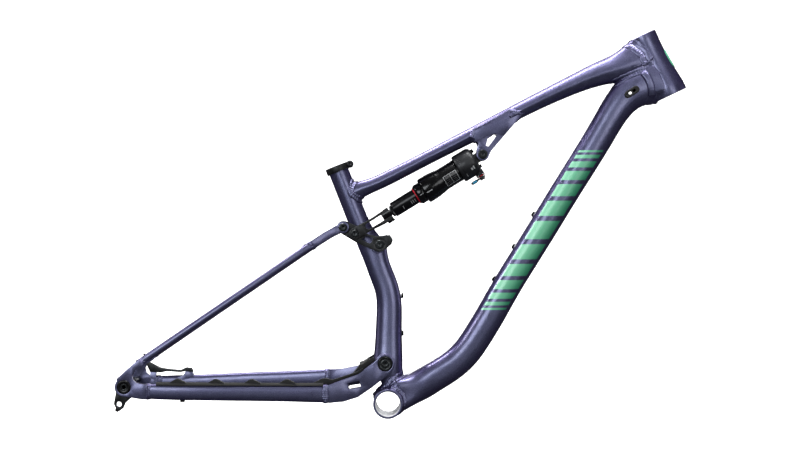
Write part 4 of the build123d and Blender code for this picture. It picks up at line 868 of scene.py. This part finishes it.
def stay_station(u):
    """Catmull-Rom station at u, from 0 at the dropout to 1 at the front end."""
    last = len(STAY_STATIONS) - 1
    i = min(int(u * last), last - 1)
    t = u * last - i
    around = [STAY_STATIONS[min(max(k, 0), last)] for k in range(i - 1, i + 3)]
    return [0.5 * ((2 * b) + (-a + c) * t + (2 * a - 5 * b + 4 * c - d) * t * t
                   + (-a + 3 * b - 3 * c + d) * t ** 3) for a, b, c, d in zip(*around)]


def seatstay(side, sign):
    rings = []
    for i in range(STAY_RINGS + 1):
        x, z, depth, width, y = stay_station(i / STAY_RINGS)
        ring = []
        for j in range(STAY_SEGMENTS):
            angle = 2 * pi * j / STAY_SEGMENTS
            c, s = cos(angle), sin(angle)
            n = STAY_SQUARENESS
            r = (abs(c) ** n + abs(s) ** n) ** (-1 / n)
            ring.append(Vector((x, y * sign, z)) / MM + Vector((0, width / 2 * r * c / MM, 0))
                        + STAY_UP * (depth / 2 * r * s / MM))
        rings.append(ring)
    ob = skin(f"seatstay_tube_{side}", rings, "purple_metallic")
    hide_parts(f"seatstay_{side}")
    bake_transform(ob)


for side, sign in SIDES:
    seatstay(side, sign)

# ---------------------------------------------------------------------------
# Shock: prints, rings, knob and lever details. Its own frame is in mm:
# back from the front eye, below the axis, and y.
# ---------------------------------------------------------------------------
SHOCK_EYE = Vector((0.1605, 0, 0.4197))
YOKE_END = Vector((-0.0555, 0, 0.2857))
SHOCK_BACK = (YOKE_END - SHOCK_EYE).normalized()
SHOCK_BELOW = Vector((-SHOCK_BACK.z, 0, SHOCK_BACK.x))


def round_shock(radius, back, degrees):
    """Point on a cylinder about the shock axis; 0 degrees faces right, positive turns below."""
    angle = radians(degrees)
    return (SHOCK_EYE + SHOCK_BACK * (back / MM) + Vector((0, -radius * cos(angle) / MM, 0))
            + SHOCK_BELOW * (radius * sin(angle) / MM))


def shock_print(name, radius, back, degrees, material="printed_grey", body="shock_body",
                thick=0.12):
    """Thin print on the shock; back and degrees are (start, end)."""
    rows, columns = 2, 10
    verts = [round_shock(r, back[0] + (back[1] - back[0]) * i / rows,
                         degrees[0] + (degrees[1] - degrees[0]) * j / columns)
             for r in (radius - 0.05, radius + thick)
             for i in range(rows + 1) for j in range(columns + 1)]
    ob = slab(name, verts, rows, columns, material, smooth=False)
    place(ob, body)


def shock_label():
    """Outlined label on the air can, with two columns of faint lines."""
    radius, line, line_degrees, row_gap = 19.6, 0.8, 2.2, 2.4
    front, rear = 54.0, 78.6
    upper, lower = -8, 50
    middle = (front + rear) / 2
    edges = [  # name, span back, span in degrees
        ("front", (front, front + line), (upper, lower)),
        ("rear", (rear - line, rear), (upper, lower)),
        ("middle", (middle - 0.3, middle + 0.3), (upper, lower)),
        ("upper", (front, rear), (upper, upper + line_degrees)),
        ("lower", (front, rear), (lower - line_degrees, lower))]
    for name, back, degrees in edges:
        shock_print(f"label_edge_{name}", radius, back, degrees)
    for i in range(5):
        start = upper + 7 + i * 9.6
        for name, back in (("front", (front + row_gap, middle - 2.2)),
                           ("rear", (middle + 2.2, rear - row_gap))):
            shock_print(f"label_row_{name}_{i}", radius, back, (start, start + 1.3),
                        "faint_printed_grey", thick=0.06)


SHAFT_PRINT = {"radius": 13.11, "body": "shock_rod", "thick": 0.03}
shock_print("sag_line_on_air_can", 22.6, (103.6, 114.6), (12, 15.5))
shock_print("mark_on_seal_head", 17.9, (120.0, 127.2), (8, 11.0))
for i, start in enumerate((137.6, 141.2, 144.8)):
    shock_print(f"travel_mark_{i}", back=(start, start + 0.7), degrees=(12, 40), **SHAFT_PRINT)
shock_print("travel_end_mark", back=(160.5, 161.3), degrees=(14, 44), **SHAFT_PRINT)
shock_label()
RESERVOIR_DASHES = [  # span back, span in degrees
    ((23.4, 25.6), (18, 33)), ((27.0, 30.0), (22, 33)), ((40.2, 41.0), (34, 50))]
for i, (back, degrees) in enumerate(RESERVOIR_DASHES):
    shock_print(f"dash_on_reservoir_{i}", 24.5, back, degrees)

SHOCK_RINGS = [  # name, material, closed profile of (radius, distance back)
    ("reservoir_groove_band", "black_oxide_bolt",
     [(24.52, 41.9), (24.72, 42.1), (24.72, 42.6), (24.52, 42.8), (24.2, 42.8), (24.2, 41.9)]),
    ("air_can_retaining_ring", "black_oxide_bolt",
     [(19.5, 51.2), (20.1, 51.4), (20.1, 52.4), (19.5, 52.6)]),
    ("seal_head_wiper", "chain_guard_rubber",
     [(13.15, 130.2), (15.6, 130.2), (15.9, 131.2), (14.6, 131.9), (13.3, 132.0)]),
]
for name, material, profile in SHOCK_RINGS:
    rings = [[round_shock(radius, back, 360.0 * i / 72) for radius, back in profile]
             for i in range(72)]
    place(skin(name, rings, material, closed=True), "shock_body")


def rebound_ring():
    """Flat ring about the control tower, which stands out below the shock."""
    tower = SHOCK_EYE + SHOCK_BACK * 0.021
    inner, outer, near, far = 7.0, 7.72, 28.6, 29.6  # radii and distances below the axis
    profile = [(near, inner), (near, outer), (far, outer), (far, inner)]
    rings = []
    for i in range(64):
        angle = 2 * pi * i / 64
        outward = SHOCK_BACK * cos(angle) + Vector((0, sin(angle), 0))
        rings.append([tower + SHOCK_BELOW * (below / MM) + outward * (radius / MM)
                      for below, radius in profile])
    ob = skin("rebound_ring", rings, "red_anodised", closed=True)
    add_split(ob)
    place(ob, "knob")


def lever_insert():
    """Coloured block let into both sides of the lockout lever."""
    front, rear, half = 31.4, 39.6, 4.15
    corners = [(front, -half), (front, half), (rear, half), (rear, -half)]
    verts = [SHOCK_EYE + SHOCK_BELOW * (below / MM) + SHOCK_BACK * (back / MM)
             + Vector((0, y / MM, 0)) for below in (31.2, 34.7) for back, y in corners]
    faces = [(0, 1, 2, 3), (7, 6, 5, 4), (0, 4, 5, 1), (1, 5, 6, 2), (2, 6, 7, 3), (3, 7, 4, 0)]
    ob = add_mesh("lever_insert", verts, faces, "blue_tip", smooth=False)
    bevel = ob.modifiers.new("bevel", "BEVEL")
    bevel.width = 0.0007
    bevel.segments = 3
    place(ob, "lever")


rebound_ring()
lever_insert()


# ---------------------------------------------------------------------------
# Cable clip, cable guide, badge
# ---------------------------------------------------------------------------
def saddle(name, centre, along, outward, radius, width, thick):
    """Strap bent over a cable: an arch about along, standing out towards outward."""
    centre = Vector(centre)
    along = Vector(along).normalized()
    outward = Vector(outward).normalized()
    sideways = along.cross(outward).normalized()
    rings = []
    for k in range(19):
        angle = radians(-80 + 160 * k / 18)
        d = outward * cos(angle) + sideways * sin(angle)
        inner, outer = centre + d * radius, centre + d * (radius + thick)
        half, outer_half = along * width / 2, along * (width / 2 - 0.0003)
        rings.append([inner - half, outer - outer_half, outer + outer_half, inner + half])
    ob = skin(name, rings, "moulded_black_plastic")
    add_split(ob)
    place(ob, "swingarm")


saddle("chainstay_cable_clip", centre=(-0.341, -0.0705, 0.0098), along=(1, 0, 0.01),
       outward=(0, 0, -1), radius=0.0026, width=0.0078, thick=0.0014)
saddle("dropout_cable_guide", centre=(-0.4035, -0.0735, 0.0846), along=(0.82, 0, 0.57),
       outward=(-0.57, 0, 0.82), radius=0.0014, width=0.0036, thick=0.0012)

HEAD_BOTTOM = Vector((0.4807, 0, 0.5207))
HEAD_TOP = Vector((0.4322, 0, 0.6224))
HEAD_AXIS = (HEAD_TOP - HEAD_BOTTOM).normalized()
HEAD_FRONT = Vector((HEAD_AXIS.z, 0, -HEAD_AXIS.x))


def badge():
    """Plain rounded plate wrapped round the front of the head tube."""
    tree = surface("head_tube")
    rows, columns = 26, 22
    start, length = 0.040, 0.036  # along the head tube, from its bottom
    grid = []
    for i in range(rows + 1):
        v = i / rows
        axis_point = HEAD_BOTTOM + HEAD_AXIS * (start + length * v)
        # half width in degrees, narrowing to the ends with rounded corners
        half = 31 * sqrt(max(0.0, 1 - abs(2 * v - 1) ** 5)) + 0.6
        for j in range(columns + 1):
            angle = radians(-half + 2 * half * j / columns)
            d = (HEAD_FRONT * cos(angle) + Vector((0, 1, 0)) * sin(angle)).normalized()
            hit = tree.ray_cast(axis_point + d * 0.06, -d, 0.08)[0]
            border = min(i, rows - i, j, columns - j)
            grid.append((hit if hit is not None else axis_point + d * 0.024, d, border))
    rounding = {0: 0.25, 1: 0.8}  # share of the thickness at the rim and one step in
    verts = [point - d * 0.0003 for point, d, _ in grid]
    verts += [point + d * (0.0011 * rounding.get(border, 1.0)) for point, d, border in grid]
    ob = slab("head_badge_blank", verts, rows, columns, "mint_badge", smooth=True)
    add_split(ob)
    place(ob, "front_triangle")


badge()

# ---------------------------------------------------------------------------
# Floor and backdrop, lights, world, camera
# ---------------------------------------------------------------------------
scene = bpy.context.scene


def paper():
    """Pale to the camera, dark to other rays so undersides stay dark, clear from its back."""
    s = Shader("backdrop_paper")
    light_path = s.node("LightPath")
    light, dim = 0.86, 0.86 * 0.985
    s.set({"Base Color": s.ramp(s.noise(scale=3.0, detail=4.0),
                                [(0.3, (dim, dim, dim, 1)), (0.7, (light, light, light, 1))]),
           "Roughness": 0.6,
           "Normal": s.bump(s.noise(scale=800.0), strength=0.04, distance=0.0005),
           "Emission Color": (1, 1, 1, 1), "Emission Strength": 0.70})
    dark = s.node("BsdfDiffuse")
    dark.inputs[0].default_value = (0.035, 0.035, 0.04, 1)
    by_ray = s.node("MixShader")
    s.fill(by_ray, {0: light_path.outputs["Is Camera Ray"], 1: dark.outputs[0],
                    2: s.principled.outputs[0]})
    geometry = s.node("NewGeometry")
    clear = s.node("BsdfTransparent")
    by_side = s.node("MixShader")
    s.fill(by_side, {0: geometry.outputs["Backfacing"], 1: by_ray.outputs[0],
                     2: clear.outputs[0]})
    s.put(s.output.inputs[0], by_side.outputs[0])
    return s.mat


def backdrop():
    """Floor that curves up into a wall behind the object."""
    floor_z, bend_y, bend_radius = -0.062, 1.6, 1.2
    profile = [(-6.0, floor_z), (bend_y, floor_z)]  # y, z
    for i in range(1, 17):
        angle = radians(90 * i / 16)
        profile.append((bend_y + bend_radius * sin(angle),
                        floor_z + bend_radius * (1 - cos(angle))))
    profile.append((bend_y + bend_radius, 6.0))
    n = len(profile)
    verts = [(x, y, z) for x in (-7.0, 7.0) for y, z in profile]
    faces = [(n + i, n + i + 1, i + 1, i) for i in range(n - 1)]
    mesh = bpy.data.meshes.new("backdrop")
    mesh.from_pydata(verts, [], faces)
    mesh.update()
    ob = bpy.data.objects.new("backdrop", mesh)
    scene.collection.objects.link(ob)
    mesh.materials.append(paper())
    for polygon in mesh.polygons:
        polygon.use_smooth = True


LIGHTS = [  # name, location, target, (width, height), power in watts, colour
    ("key_top", (-0.2, -0.20, 2.3), (0.0, 0.0, 0.25), (4.2, 0.30), 105, (1.0, 0.995, 0.99)),
    ("top_left", (-2.6, -0.35, 1.9), (0.0, 0.0, 0.3), (1.3, 0.30), 30, (1.0, 0.99, 0.99)),
    ("front_left", (-1.25, -3.1, 0.95), (0.0, 0, 0.25), (1.7, 1.3), 36, (0.93, 0.97, 1.0)),
    ("front_right", (1.5, -2.9, 0.75), (0.2, 0, 0.3), (1.5, 1.3), 17, (0.97, 0.98, 1.0)),
    ("far_rim", (0.4, 1.9, 1.9), (0.0, 0, 0.3), (2.6, 0.4), 5, (1, 1, 1)),
    ("far_side", (0.3, 2.4, 0.45), (0.05, 0, 0.3), (1.4, 1.2), 22, (0.97, 0.98, 1.0)),
    ("end_front", (3.1, 0.7, 0.7), (0.3, 0, 0.3), (1.2, 1.2), 9, (0.97, 0.98, 1.0)),
    ("end_rear", (-3.1, 0.7, 0.7), (-0.3, 0, 0.2), (1.2, 1.2), 7, (0.97, 0.98, 1.0)),
    ("back_wall", (0.0, 1.2, 2.6), (0.0, 2.6, 0.4), (4.0, 1.0), 70, (1, 1, 1)),
]


def area_light(name, location, target, size, power, colour):
    light = bpy.data.lights.new(name, "AREA")
    light.energy = power
    light.color = colour
    light.shape = "RECTANGLE"
    light.size, light.size_y = size
    ob = bpy.data.objects.new(name, light)
    scene.collection.objects.link(ob)
    ob.location = location
    aim = Vector(target) - Vector(location)
    ob.rotation_euler = aim.to_track_quat("-Z", "Y").to_euler()
    ob.visible_camera = False


def studio_world():
    """White to the camera, a faint cool fill to everything else."""
    world = bpy.data.worlds.new("studio")
    scene.world = world
    world.use_nodes = True
    nodes, links = world.node_tree.nodes, world.node_tree.links
    fill = nodes["Background"]
    fill.inputs["Color"].default_value = (0.94, 0.955, 1.0, 1)
    fill.inputs["Strength"].default_value = 0.035
    white = nodes.new("ShaderNodeBackground")
    white.inputs["Color"].default_value = (1, 1, 1, 1)
    white.inputs["Strength"].default_value = 0.95
    light_path = nodes.new("ShaderNodeLightPath")
    mix = nodes.new("ShaderNodeMixShader")
    links.new(light_path.outputs["Is Camera Ray"], mix.inputs[0])
    links.new(fill.outputs[0], mix.inputs[1])
    links.new(white.outputs[0], mix.inputs[2])
    output = next(node for node in nodes if node.type == "OUTPUT_WORLD")
    links.new(mix.outputs[0], output.inputs[0])


def add_camera():
    """Level view of the right side."""
    camera = bpy.data.cameras.new("camera")
    camera.sensor_width = 36.0
    camera.lens = 80.7
    ob = bpy.data.objects.new("camera", camera)
    scene.collection.objects.link(ob)
    ob.location = (0.0203, -3.050, 0.301)
    ob.rotation_euler = (radians(90), 0, 0)
    scene.camera = ob
    scene.view_settings.view_transform = "Standard"


backdrop()
for row in LIGHTS:
    area_light(*row)
studio_world()
add_camera()
